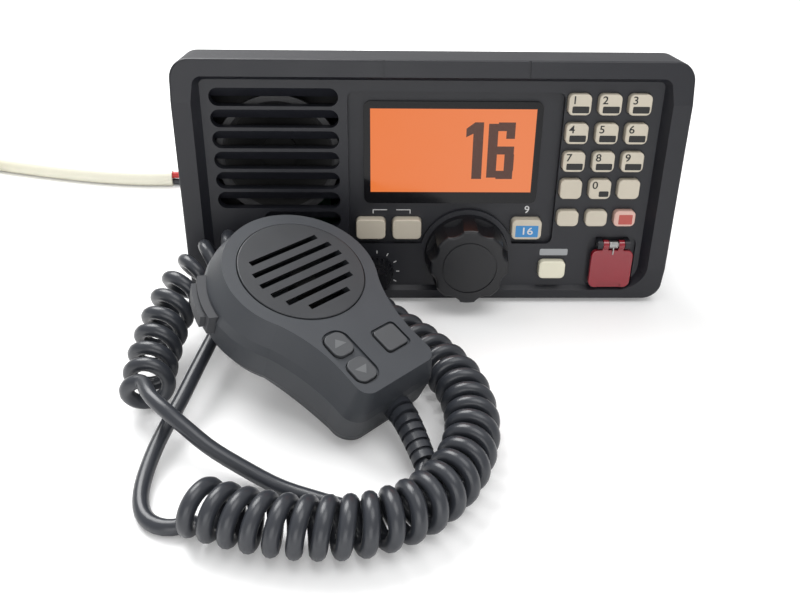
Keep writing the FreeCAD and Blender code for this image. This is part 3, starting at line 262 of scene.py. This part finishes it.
def power_points():
    points = list(POWER_ROUTE)
    count = int(POWER_COIL_TURNS * POINTS_PER_TURN)
    for number in range(count + 1):
        turn = number * POWER_COIL_TURNS / count
        angle = math.radians(POWER_COIL_START) + 2.0 * math.pi * turn
        x = POWER_COIL_CENTRE[0] + POWER_COIL_R * math.cos(angle)
        y = POWER_COIL_CENTRE[1] + POWER_COIL_R * math.sin(angle)
        points.append((x, y, POWER_ROUTE[0][2] + POWER_COIL_LIFT * turn))
    return points + list(POWER_TAIL)


power_line = power_points()
POWER_LENGTH = line_length(power_line)
print("power cable", round(POWER_LENGTH, 3), "m")
power_cable = spline_curve("power_cable_sheath", power_line, POWER_D)
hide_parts("power_cable", "power_cable_coil")
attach(power_cable, "radio")
cores = {}
for name, route in (("red_core", RED_ROUTE), ("black_core", BLACK_ROUTE)):
    core = spline_curve(name, route, CORE_D)
    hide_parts("power_leads")
    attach(core, "radio")
    line_length(route)
    cores[name] = core

# %% [markdown]
# Materials are built from nodes. They could be drawn in the node editor, but a script can be read and run
# again. Sums on sockets are written as plain expressions, so a small class wraps a socket and adds a Math
# node for each operator. Every other node of a finish comes from one method.
# %% Shader maths
# A Mix node has a row of sockets for each kind of value. These are its sockets for colours.
MIX_FACTOR = 0
MIX_FIRST = 6
MIX_SECOND = 7
MIX_RESULT = 2


class Maths:
    """A number that comes out of a node."""

    def __init__(self, tree, socket):
        self.tree = tree
        self.socket = socket

    def apply(self, operation, first, second):
        node = self.tree.nodes.new("ShaderNodeMath")
        node.operation = operation
        for index, item in enumerate((first, second)):
            if isinstance(item, Maths):
                self.tree.links.new(item.socket, node.inputs[index])
            else:
                node.inputs[index].default_value = item
        return Maths(self.tree, node.outputs[0])

    def __add__(self, other):
        return self.apply("ADD", self, other)

    def __sub__(self, other):
        return self.apply("SUBTRACT", self, other)

    def __rsub__(self, other):
        return self.apply("SUBTRACT", other, self)

    def __mul__(self, other):
        return self.apply("MULTIPLY", self, other)

    def __gt__(self, other):
        return self.apply("GREATER_THAN", self, other)

    def __lt__(self, other):
        return self.apply("LESS_THAN", self, other)

    __radd__ = __add__
    __rmul__ = __mul__


class Finish:
    """One material: a Principled shader and the nodes that feed it."""

    def __init__(self, name, colour, roughness, **plain):
        self.material = bpy.data.materials.new(name)
        self.material.use_nodes = True
        self.tree = self.material.node_tree
        self.shader = self.tree.nodes["Principled BSDF"]
        self.feed(self.shader, {"Base Color": (*colour, 1.0), "Roughness": roughness})
        self.feed(self.shader, {key.replace("_", " "): value for key, value in plain.items()})
        self.place = self.node("ShaderNodeTexCoord", output="Object")

    def feed(self, node, values):
        for socket, value in values.items():
            if isinstance(value, Maths):
                self.tree.links.new(value.socket, node.inputs[socket])
            else:
                node.inputs[socket].default_value = value

    def node(self, kind, settings=None, inputs=None, output=0):
        node = self.tree.nodes.new(kind)
        for key, value in (settings or {}).items():
            setattr(node, key, value)
        self.feed(node, inputs or {})
        return Maths(self.tree, node.outputs[output])

    def noise(self, size_mm, detail=2.0):
        """Noise whose blotches are about this size."""
        inputs = {"Vector": self.place, "Scale": 1.0 / (size_mm * MM), "Detail": detail}
        return self.node("ShaderNodeTexNoise", inputs=inputs, output="Fac")

    def mix(self, factor, first, second):
        """A colour between two colours."""
        inputs = {MIX_FACTOR: factor}
        for socket, colour in ((MIX_FIRST, first), (MIX_SECOND, second)):
            inputs[socket] = colour if isinstance(colour, Maths) else (*colour, 1.0)
        return self.node("ShaderNodeMix", {"data_type": "RGBA"}, inputs, MIX_RESULT)

    def bump(self, height, depth_mm):
        inputs = {"Height": height, "Distance": depth_mm * MM, "Strength": 1.0}
        self.feed(self.shader, {"Normal": self.node("ShaderNodeBump", inputs=inputs)})


# An uneven colour comes from wide soft blotches and from the grain. CLOUD_SHARE is the blotches' part of it.
CLOUD_MM = 14.0
CLOUD_DETAIL = 3.0
CLOUD_SHARE = 0.7
DARKEST_LIFT = 0.002
GLOSS_SWING = 0.12


def moulded(name, colour, roughness, grain_mm, depth_mm, unevenness=0.15, **plain):
    """Moulded plastic, rubber or paint: a fine grain, and a colour and a gloss that vary a little."""
    finish = Finish(name, colour, roughness, **plain)
    cloud = finish.noise(CLOUD_MM, CLOUD_DETAIL)
    grain = finish.noise(grain_mm)
    darker = tuple(c * (1.0 - unevenness) for c in colour)
    lighter = tuple(c * (1.0 + unevenness) + DARKEST_LIFT * unevenness for c in colour)
    blend = cloud * CLOUD_SHARE + grain * (1.0 - CLOUD_SHARE)
    finish.feed(finish.shader, {
        "Base Color": finish.mix(blend, darker, lighter),
        "Roughness": roughness - GLOSS_SWING / 2.0 + cloud * GLOSS_SWING,
    })
    finish.bump(grain, depth_mm)
    return finish.material


# %% [markdown]
# The housings are black plastic with a fine spark-eroded grain. The keys are cream rubber, the knobs are
# smoother and darker, and the cord has a soft gloss. A picture could give such a grain, but noise has no
# seams and stays fine close up.
# %% Finishes
housing = moulded("housing_black", (0.0085, 0.0092, 0.0135), 0.46, 0.34, 0.035)
# The black casting finish also goes on the steel speaker frame, as painted shade in the louvre slots.
casting_and_slot_shade = moulded("casting_black_and_slot_shade", (0.02, 0.02, 0.022), 0.55, 0.6, 0.05)
knob_black = moulded("knob_black", (0.003, 0.0034, 0.0055), 0.4, 0.25, 0.01)
key_cream = moulded("key_cream", (0.54, 0.49, 0.4), 0.5, 0.2, 0.01, 0.06)
key_blue = moulded("key_blue", (0.035, 0.22, 0.5), 0.45, 0.2, 0.01, 0.06)
key_red = moulded("key_red", (0.42, 0.075, 0.06), 0.45, 0.2, 0.01, 0.06)
key_pink = moulded("key_pink", (0.62, 0.4, 0.34), 0.5, 0.2, 0.01, 0.06)
key_power = moulded("key_clear_cream", (0.72, 0.69, 0.55), 0.4, 0.2, 0.01, 0.06)
label_grey = moulded("label_grey", (0.32, 0.33, 0.34), 0.5, 0.2, 0.002, 0.05)
mic_black = moulded("mic_black", (0.036, 0.04, 0.047), 0.46, 0.3, 0.045)
mic_disc = moulded("mic_disc_black", (0.028, 0.03, 0.034), 0.42, 0.22, 0.012)
mic_rubber = moulded("mic_rubber", (0.055, 0.058, 0.063), 0.5, 0.2, 0.012)
ptt_rubber = moulded("ptt_rubber", (0.038, 0.04, 0.045), 0.55, 0.2, 0.012)
cord_black = moulded("cord_black", (0.03, 0.033, 0.04), 0.3, 0.5, 0.006)
seal_black = moulded("seal_black", (0.012, 0.012, 0.012), 0.7, 0.3, 0.02)
sheath_cream = moulded("sheath_cream", (0.7, 0.68, 0.57), 0.42, 3.0, 0.03, 0.05)
core_red = moulded("core_red", (0.45, 0.015, 0.012), 0.4, 0.6, 0.004)
cover_red = moulded("cover_red", (0.24, 0.004, 0.014), 0.1, 3.0, 0.0, 0.1, Coat_Weight=0.6)
button_red = moulded("button_red", (0.5, 0.02, 0.02), 0.4, 0.2, 0.01)
print_white = moulded("print_white", (0.62, 0.62, 0.62), 0.55, 0.1, 0.002, 0.04)
print_black = moulded("print_black", (0.008, 0.008, 0.008), 0.5, 0.1, 0.002, 0.04)
board_green = moulded("board_green", (0.01, 0.09, 0.035), 0.3, 1.5, 0.02, 0.2)
cone_black = moulded("cone_black", (0.008, 0.008, 0.008), 0.9, 0.5, 0.1)
print("materials so far", len(bpy.data.materials))

# %% [markdown]
# The shafts, the screws and the spring are steel, and the antenna socket and the ring terminals are nickel
# plated. Quite even metal would look drawn. A noise with more detail than the plastic's, used for colour,
# gloss and bumps alike, gives fine uneven marks without a picture of any.
# %% Metals
MARK_DETAIL = 6.0
MARK_DARKNESS = 0.8
MARK_SMOOTHER = 0.08
MARK_GLOSS_SWING = 0.2
MARK_DEPTH_MM = 0.01


def metal(name, colour, roughness, mark_mm):
    finish = Finish(name, colour, roughness, Metallic=1.0)
    marks = finish.noise(mark_mm, MARK_DETAIL)
    darker = tuple(c * MARK_DARKNESS for c in colour)
    finish.feed(finish.shader, {
        "Roughness": roughness - MARK_SMOOTHER + marks * MARK_GLOSS_SWING,
        "Base Color": finish.mix(marks, darker, colour),
    })
    finish.bump(marks, MARK_DEPTH_MM)
    return finish.material


steel = metal("steel_plain", (0.55, 0.55, 0.54), 0.35, 0.6)
nickel = metal("nickel_plate", (0.66, 0.63, 0.56), 0.25, 0.9)
print("materials so far", len(bpy.data.materials))

# %% [markdown]
# Behind the clear window the liquid crystal cell glows amber from its own lamps, a little paler to the
# right, inside a glossy black border. The window is dressed as one surface: where the border ends is
# worked out from the panel's own width and height, which the object coordinates give once the lean is
# taken out of them.
# %% Window
VIEW_X = (-26.8, 45.0)
VIEW_Z = (52.0, 89.3)
AMBER_LEFT = (1.0, 0.235, 0.05)
AMBER_RIGHT = (1.0, 0.27, 0.09)
GLOW = 0.8
WINDOW_ROUGHNESS = 0.08
WINDOW_SPECULAR = 0.3
AMBER_CLOUD_MM = 9.0
AMBER_CLOUD = 0.25
SMEAR_MM = 4.0
SMEAR = 0.05


def window_finish():
    finish = Finish("window_display", (0.005, 0.005, 0.006), WINDOW_ROUGHNESS)
    finish.feed(finish.shader, {"Specular IOR Level": WINDOW_SPECULAR})
    split = finish.node("ShaderNodeSeparateXYZ", inputs={0: finish.place})
    x, y, z = [Maths(finish.tree, socket) for socket in split.socket.node.outputs]
    height = (y + ORIGIN_Y) * math.sin(LEAN) + (z - LIFT) * math.cos(LEAN)
    inside_x = (x > VIEW_X[0] * MM) * (x < VIEW_X[1] * MM)
    inside = inside_x * (height > VIEW_Z[0] * MM) * (height < VIEW_Z[1] * MM)
    across = (x - VIEW_X[0] * MM) * (1.0 / ((VIEW_X[1] - VIEW_X[0]) * MM))
    amber = finish.mix(across + finish.noise(AMBER_CLOUD_MM) * AMBER_CLOUD, AMBER_LEFT, AMBER_RIGHT)
    finish.feed(finish.shader, {
        "Emission Color": finish.mix(inside, (0.0, 0.0, 0.0), amber), "Emission Strength": GLOW,
        "Roughness": WINDOW_ROUGHNESS + finish.noise(SMEAR_MM) * SMEAR,
    })
    return finish.material


window_display = window_finish()
print("the lit cell is", round(VIEW_X[1] - VIEW_X[0], 1), "by", round(VIEW_Z[1] - VIEW_Z[0], 1), "mm")

# %% [markdown]
# Every imported node that no cord replaces gets the finish of the real piece, except the steel speaker
# frame, whose black is painted shade. Each call names a finish and all the nodes that share it, so that a
# finish is changed in one place.
# %% Dress the nodes
def dress(material, *names):
    for name in names:
        slots = nodes[name].data.materials
        slots.clear()
        slots.append(material)
    print(material.name, "on", len(names), "nodes")


NUMBER_KEYS = ["key_" + str(number) for number in range(10)]
dress(key_cream, *NUMBER_KEYS, "key_ce", "key_ent", "key_menu", "key_clr", "key_hl", "key_ch", "key_16")
dress(key_pink, "key_f")
dress(key_power, "key_power")
dress(housing, "front_panel")
# The speaker frame behind the louvre slots is steel. Its black here is painted shade, so that the slots read
# as dark holes.
dress(casting_and_slot_shade, "rear_chassis", "speaker_frame")
dress(window_display, "display_window")
dress(knob_black, "channel_knob", "squelch_knob", "volume_knob")
dress(seal_black, "chassis_seal", "power_gland", "cord_gland", "key_mat")
dress(steel, "channel_encoder", "channel_shaft", "dual_potentiometer")
dress(steel, "distress_hinge_pin", "distress_spring", "case_screws", "hanger_stud")
dress(nickel, "antenna_socket", "cable_terminals")
dress(board_green, "front_board", "main_board")
dress(cone_black, "speaker_cone", "lcd_module", "mic_board")
dress(cover_red, "distress_cover")
dress(button_red, "distress_button")
dress(mic_black, "mic_front_shell", "mic_back_shell")
dress(mic_disc, "mic_grille")
dress(mic_rubber, "mic_up_key", "mic_down_key", "mic_channel_key")
dress(ptt_rubber, "ptt_button")
dress(cord_black, "mic_boot")
curly_cord.data.materials.append(cord_black)
power_cable.data.materials.append(sheath_cream)
cores["red_core"].data.materials.append(core_red)
cores["black_core"].data.materials.append(cord_black)

# %% [markdown]
# Printed marks are thin raised films: plain numbers, bands, lines and labels. They could be painted into a
# material, but a film keeps its sharp edge close up. A mark is drawn flat, turned into a mesh and then laid
# on the piece that it belongs to.
# %% Printed marks
FILM = 0.03
# The height of a figure as a share of its font size.
FIGURE_SHARE = 0.7
BOLDER_MM = 0.06
CORNER_STEPS = 4


def finished(name, mesh, place, material, body):
    """A piece from a flat mesh, put in place in its mesh and set to ride on a body."""
    mesh.transform(place)
    mesh.name = name
    mesh.materials.clear()
    mesh.materials.append(material)
    piece = bpy.data.objects.new(name, mesh)
    bpy.context.scene.collection.objects.link(piece)
    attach(piece, body)


def flat_mesh(item):
    """The mesh that an item's text or modifiers make. The item is then deleted."""
    depsgraph = bpy.context.evaluated_depsgraph_get()
    mesh = bpy.data.meshes.new_from_object(item.evaluated_get(depsgraph))
    bpy.data.objects.remove(item)
    return mesh


def text_mesh(words, height_mm, width=1.0):
    data = bpy.data.curves.new("words", "FONT")
    data.body = words
    data.size = height_mm * MM / FIGURE_SHARE
    data.offset = BOLDER_MM * MM
    data.align_x = "CENTER"
    data.align_y = "CENTER"
    data.extrude = FILM * MM
    item = bpy.data.objects.new("words", data)
    bpy.context.scene.collection.objects.link(item)
    mesh = flat_mesh(item)
    mesh.transform(Matrix.Diagonal((width, 1.0, 1.0, 1.0)))
    return mesh


def plate_mesh(*outlines):
    """Thin plates, each from its outline of (x, y) points in millimetres, anticlockwise."""
    points = []
    faces = []
    for outline in outlines:
        first = len(points)
        count = len(outline)
        points += [(x * MM, y * MM, z * MM) for z in (-FILM, FILM) for x, y in outline]
        faces.append(tuple(range(first + count, first + 2 * count)))
        faces.append(tuple(reversed(range(first, first + count))))
        for index in range(count):
            low, follower = first + index, first + (index + 1) % count
            faces.append((low, follower, count + follower, count + low))
    mesh = bpy.data.meshes.new("plate")
    mesh.from_pydata(points, [], faces)
    return mesh


def band(width, height, radius):
    """The outline of a rectangle with rounded corners."""
    outline = []
    for quarter, (sx, sy) in enumerate(((1, 1), (-1, 1), (-1, -1), (1, -1))):
        for step in range(CORNER_STEPS + 1):
            angle = math.radians(90 * (quarter + step / CORNER_STEPS))
            x = sx * (width / 2.0 - radius) + radius * math.cos(angle)
            y = sy * (height / 2.0 - radius) + radius * math.sin(angle)
            outline.append((x, y))
    return outline


print("a mark stands", FILM, "mm proud")

# %% [markdown]
# A number key carries a plain number at its upper left and a dark band below it. One key has a blue plate
# with a number and another a red plate. These marks ride on their keys, so that they sink with them when
# pressed, and the small nine above the blue key stays on the panel. Bands and plates are outlines with
# rounded corners, because a few sums give those and a bevel would cut the thin edge as well.
# %% Marks on the keys
KEY_COLUMNS = (62.3, 75.3, 88.2)
KEY_ROWS = (92.15, 79.65, 67.15, 54.65)
KEY_FRONT_Y = 2.0
POCKET_KEY_FRONT_Y = 3.2
POCKET_Y = 7.5
# How far the number on the blue plate stands in front of that plate.
NUMBER_PROUD = 0.05
NUMBER_H = 3.3
NUMBER_WIDTH = 1.1
NUMBER_SHIFT = (-2.4, 1.9)
BAND_Z_SHIFT = -2.0
BAND_R = 0.5
# Each band: width, height and how far it stands to the right of the key's middle.
WIDE_BAND = (7.2, 2.9, 0.4)
SHORT_BAND = (4.4, 2.6, 1.8)
# Places across and up the panel.
KEY_16_AT = (44.4, 34.2)
KEY_F_AT = (88.6, 40.5)
NINE_AT = (44.4, 43.1)
# Each plate: width, height and corner radius.
KEY_16_PLATE = (10.4, 5.6, 0.4)
KEY_F_PLATE = (6.2, 4.6, 0.3)
BIG_NUMBER_H = 3.4
BIG_NUMBER_WIDTH = 1.2


def key_marks(number, x, z, band_w, band_h, band_shift):
    """A key's number and the dark band below it."""
    body = "key_" + str(number)
    spot = on_panel(x + NUMBER_SHIFT[0], KEY_FRONT_Y, z + NUMBER_SHIFT[1])
    figure = text_mesh(str(number), NUMBER_H, NUMBER_WIDTH)
    finished(body + "_number", figure, spot, print_black, body)
    spot = on_panel(x + band_shift, KEY_FRONT_Y, z + BAND_Z_SHIFT)
    finished(body + "_band", plate_mesh(band(band_w, band_h, BAND_R)), spot, print_black, body)


for number in range(1, 10):
    row, column = divmod(number - 1, 3)
    key_marks(number, KEY_COLUMNS[column], KEY_ROWS[row], *WIDE_BAND)
key_marks(0, KEY_COLUMNS[1], KEY_ROWS[3], *SHORT_BAND)
spot = on_panel(KEY_16_AT[0], POCKET_KEY_FRONT_Y, KEY_16_AT[1])
finished("key_16_plate", plate_mesh(band(*KEY_16_PLATE)), spot, key_blue, "key_16")
spot = on_panel(KEY_16_AT[0], POCKET_KEY_FRONT_Y - NUMBER_PROUD, KEY_16_AT[1])
figure = text_mesh("16", BIG_NUMBER_H, BIG_NUMBER_WIDTH)
finished("key_16_number", figure, spot, print_white, "key_16")
spot = on_panel(KEY_F_AT[0], KEY_FRONT_Y, KEY_F_AT[1])
finished("key_f_plate", plate_mesh(band(*KEY_F_PLATE)), spot, key_red, "key_f")
spot = on_panel(NINE_AT[0], POCKET_Y, NINE_AT[1])
finished("nine_mark", text_mesh("9", BIG_NUMBER_H), spot, print_white, "radio")
print("number keys", len(NUMBER_KEYS))

# %% [markdown]
# The display shows a large plain channel number in dark segments. A text object could give the figures,
# but the segments of such a display are plain bars, so their outlines are given.
# %% Display figures
segment_dark = moulded("segment_dark", (0.075, 0.022, 0.01), 0.25, 0.3, 0.0, 0.1)
WINDOW_Y = 6.0
FIGURE_ONE = (
    (18.0, 58.2), (22.4, 58.2), (22.4, 83.6), (18.6, 83.6), (14.9, 80.8), (14.9, 77.0), (18.0, 78.6),
)
# The bars of the figure six: left, right, bottom and top edge of each.
FIGURE_SIX = (
    (24.6, 28.8, 58.8, 83.0), (28.8, 36.2, 79.8, 83.6), (32.4, 36.2, 76.4, 79.8), (28.8, 36.2, 69.4, 73.0),
    (32.2, 36.4, 62.0, 69.4), (28.8, 36.2, 58.2, 62.0),
)
figures = [FIGURE_ONE] + [((x0, z0), (x1, z0), (x1, z1), (x0, z1)) for x0, x1, z0, z1 in FIGURE_SIX]
spot = on_panel(0.0, WINDOW_Y, 0.0)
finished("channel_figures", plate_mesh(*figures), spot, segment_dark, "radio")
print("bars in the figures", len(figures))

# %% [markdown]
# White ticks stand round the small knob. They repeat round a circle, so a small tree of geometry nodes
# makes them: a tick is instanced on each point of a circle, turned to face outwards and made real.
# %% Ticks round the small knob
TICK_R = 9.65
TICK_COUNT = 12
TICK_SIZE = (1.5, 0.45)
TWIN_AT = (-24.0, 13.5)
FLOOR_Y = 5.0


def tick_tree():
    tree = bpy.data.node_groups.new("tick_ring", "GeometryNodeTree")
    tree.interface.new_socket("Count", in_out="INPUT", socket_type="NodeSocketInt")
    tree.interface.new_socket("Radius", in_out="INPUT", socket_type="NodeSocketFloat")
    tree.interface.new_socket("Material", in_out="INPUT", socket_type="NodeSocketMaterial")
    tree.interface.new_socket("Geometry", in_out="OUTPUT", socket_type="NodeSocketGeometry")
    make = tree.nodes.new
    link = tree.links.new
    given = make("NodeGroupInput")
    result = make("NodeGroupOutput")
    circle = make("GeometryNodeMeshCircle")
    tick = make("GeometryNodeMeshCube")
    place = make("GeometryNodeInputPosition")
    turn = make("FunctionNodeAlignRotationToVector")
    spread = make("GeometryNodeInstanceOnPoints")
    real = make("GeometryNodeRealizeInstances")
    paint = make("GeometryNodeSetMaterial")
    turn.axis = "X"
    tick.inputs["Size"].default_value = (TICK_SIZE[0] * MM, TICK_SIZE[1] * MM, 2.0 * FILM * MM)
    link(given.outputs["Count"], circle.inputs["Vertices"])
    link(given.outputs["Radius"], circle.inputs["Radius"])
    link(place.outputs[0], turn.inputs["Vector"])
    link(circle.outputs[0], spread.inputs["Points"])
    link(tick.outputs[0], spread.inputs["Instance"])
    link(turn.outputs[0], spread.inputs["Rotation"])
    link(spread.outputs[0], real.inputs[0])
    link(real.outputs[0], paint.inputs["Geometry"])
    link(given.outputs["Material"], paint.inputs["Material"])
    link(paint.outputs[0], result.inputs[0])
    return tree


def tick_ring():
    item = bpy.data.objects.new("ticks", bpy.data.meshes.new("ticks"))
    bpy.context.scene.collection.objects.link(item)
    modifier = item.modifiers.new("ticks", "NODES")
    modifier.node_group = tick_tree()
    values = {"Count": TICK_COUNT, "Radius": TICK_R * MM, "Material": print_white}
    for socket in modifier.node_group.interface.items_tree:
        if socket.name in values and socket.in_out == "INPUT":
            modifier[socket.identifier] = values[socket.name]
    return flat_mesh(item)


spot = on_panel(TWIN_AT[0], FLOOR_Y, TWIN_AT[1])
finished("dial_ticks", tick_ring(), spot, print_white, "radio")
print("ticks", TICK_COUNT)

# %% [markdown]
# The panel carries a few more bare marks: a bracket over two keys and a pale label over the power key.
# They are thin plates like the bands on the keys, so the same helpers make them.
# %% Lines on the panel
# Each line: name, middle across and up, width and height.
BRACKET_LINES = (
    ("bracket_left", -22.6, 43.0, 6.4, 0.4), ("bracket_right", -12.0, 43.0, 6.4, 0.4),
    ("bracket_left_end", -25.7, 42.1, 0.4, 1.8), ("bracket_right_end", -8.9, 42.1, 0.4, 1.8),
)
LINE_R = 0.1
POWER_LABEL_AT = (58.1, 23.3)
# Width, height and corner radius.
POWER_LABEL = (13.0, 3.2, 0.7)
for name, x, z, width, height in BRACKET_LINES:
    line = plate_mesh(band(width, height, LINE_R))
    finished(name, line, on_panel(x, POCKET_Y, z), print_white, "radio")
spot = on_panel(POWER_LABEL_AT[0], FLOOR_Y, POWER_LABEL_AT[1])
finished("power_label", plate_mesh(band(*POWER_LABEL)), spot, label_grey, "radio")
print("lines in the bracket", len(BRACKET_LINES))

# %% [markdown]
# The two channel keys of the microphone carry triangles that point up and down. A triangle has three
# points, so its outline is worked out and needs no modifier.
# %% Marks on the microphone
MIC_KEY_TOP = 0.3
MIC_MARK_X = -11.0
MIC_MARK_W = 5.4
# How high a triangle is for its width.
RISE = 0.6
# Each mark: name, its place along the microphone, and 1 to point up or -1 to point down.
MIC_MARKS = (("up", -34.8, 1), ("down", -49.0, -1))


def on_mic(x, y, z):
    return MIC @ Matrix.Translation((x * MM, y * MM, z * MM))


def triangle(size, up):
    tip = size * RISE * up
    outline = [(-size / 2.0, -tip / 2.0), (size / 2.0, -tip / 2.0), (0.0, tip / 2.0)]
    return outline if up > 0 else list(reversed(outline))


mark_grey = moulded("mark_grey", (0.11, 0.115, 0.12), 0.5, 0.2, 0.004, 0.05)
for name, y, up in MIC_MARKS:
    spot = on_mic(MIC_MARK_X, y, MIC_KEY_TOP)
    arrow = plate_mesh(triangle(MIC_MARK_W, up))
    finished(name + "_mark", arrow, spot, mark_grey, "mic_" + name + "_key")
print("marks on the microphone", len(MIC_MARKS))

# %% [markdown]
# The table is plain and pale. Three large soft lamps stand above it and in front of it, and the world
# lights the shadows. The camera sees the world as white, because a grey one would show past the table.
# %% Table and light
FLOOR_COLOUR = (0.86, 0.86, 0.86)
FLOOR_HALF = 3.0
FLOOR_ROUGHNESS = 0.6
FLOOR_GLOW = 0.16
WORLD_LIGHT = 0.55
WORLD_SEEN = 1.0
# Each lamp: name, place, the point that it faces, width and power.
LAMPS = (
    ("window_light", (-0.5, 0.6, 1.0), (0, 0, 0.05), 0.8, 17.0),
    ("ceiling_light", (0.3, -0.3, 1.4), (0, 0, 0.0), 1.0, 9.0),
    ("front_light", (-0.2, -1.6, 0.35), (0, 0, 0.08), 1.2, 9.0),
)


def make_floor():
    mesh = bpy.data.meshes.new("table")
    signs = ((-1, -1), (1, -1), (1, 1), (-1, 1))
    mesh.from_pydata([(x * FLOOR_HALF, y * FLOOR_HALF, 0) for x, y in signs], [], [(0, 1, 2, 3)])
    floor = bpy.data.objects.new("table", mesh)
    bpy.context.scene.collection.objects.link(floor)
    finish = Finish("table_white", FLOOR_COLOUR, FLOOR_ROUGHNESS)
    finish.feed(finish.shader, {"Emission Color": (1, 1, 1, 1)})
    seen = finish.node("ShaderNodeLightPath", output="Is Camera Ray")
    finish.feed(finish.shader, {"Emission Strength": seen * FLOOR_GLOW})
    mesh.materials.append(finish.material)


def make_world():
    world = bpy.data.worlds.new("studio")
    bpy.context.scene.world = world
    world.use_nodes = True
    tree = world.node_tree
    backdrop = tree.nodes["Background"]
    backdrop.inputs["Color"].default_value = (1.0, 1.0, 1.0, 1.0)
    path = tree.nodes.new("ShaderNodeLightPath")
    seen = Maths(tree, path.outputs["Is Camera Ray"])
    strength = WORLD_LIGHT + seen * (WORLD_SEEN - WORLD_LIGHT)
    tree.links.new(strength.socket, backdrop.inputs["Strength"])


def make_lamp(name, place, target, size, power):
    data = bpy.data.lights.new(name, "AREA")
    data.size = size
    data.energy = power
    lamp = bpy.data.objects.new(name, data)
    lamp.location = place
    lamp.rotation_euler = (Vector(target) - Vector(place)).to_track_quat("-Z", "Y").to_euler()
    bpy.context.scene.collection.objects.link(lamp)


make_floor()
make_world()
for lamp in LAMPS:
    make_lamp(*lamp)
bpy.context.scene.view_settings.view_transform = "Standard"
print("lamps", len(LAMPS))
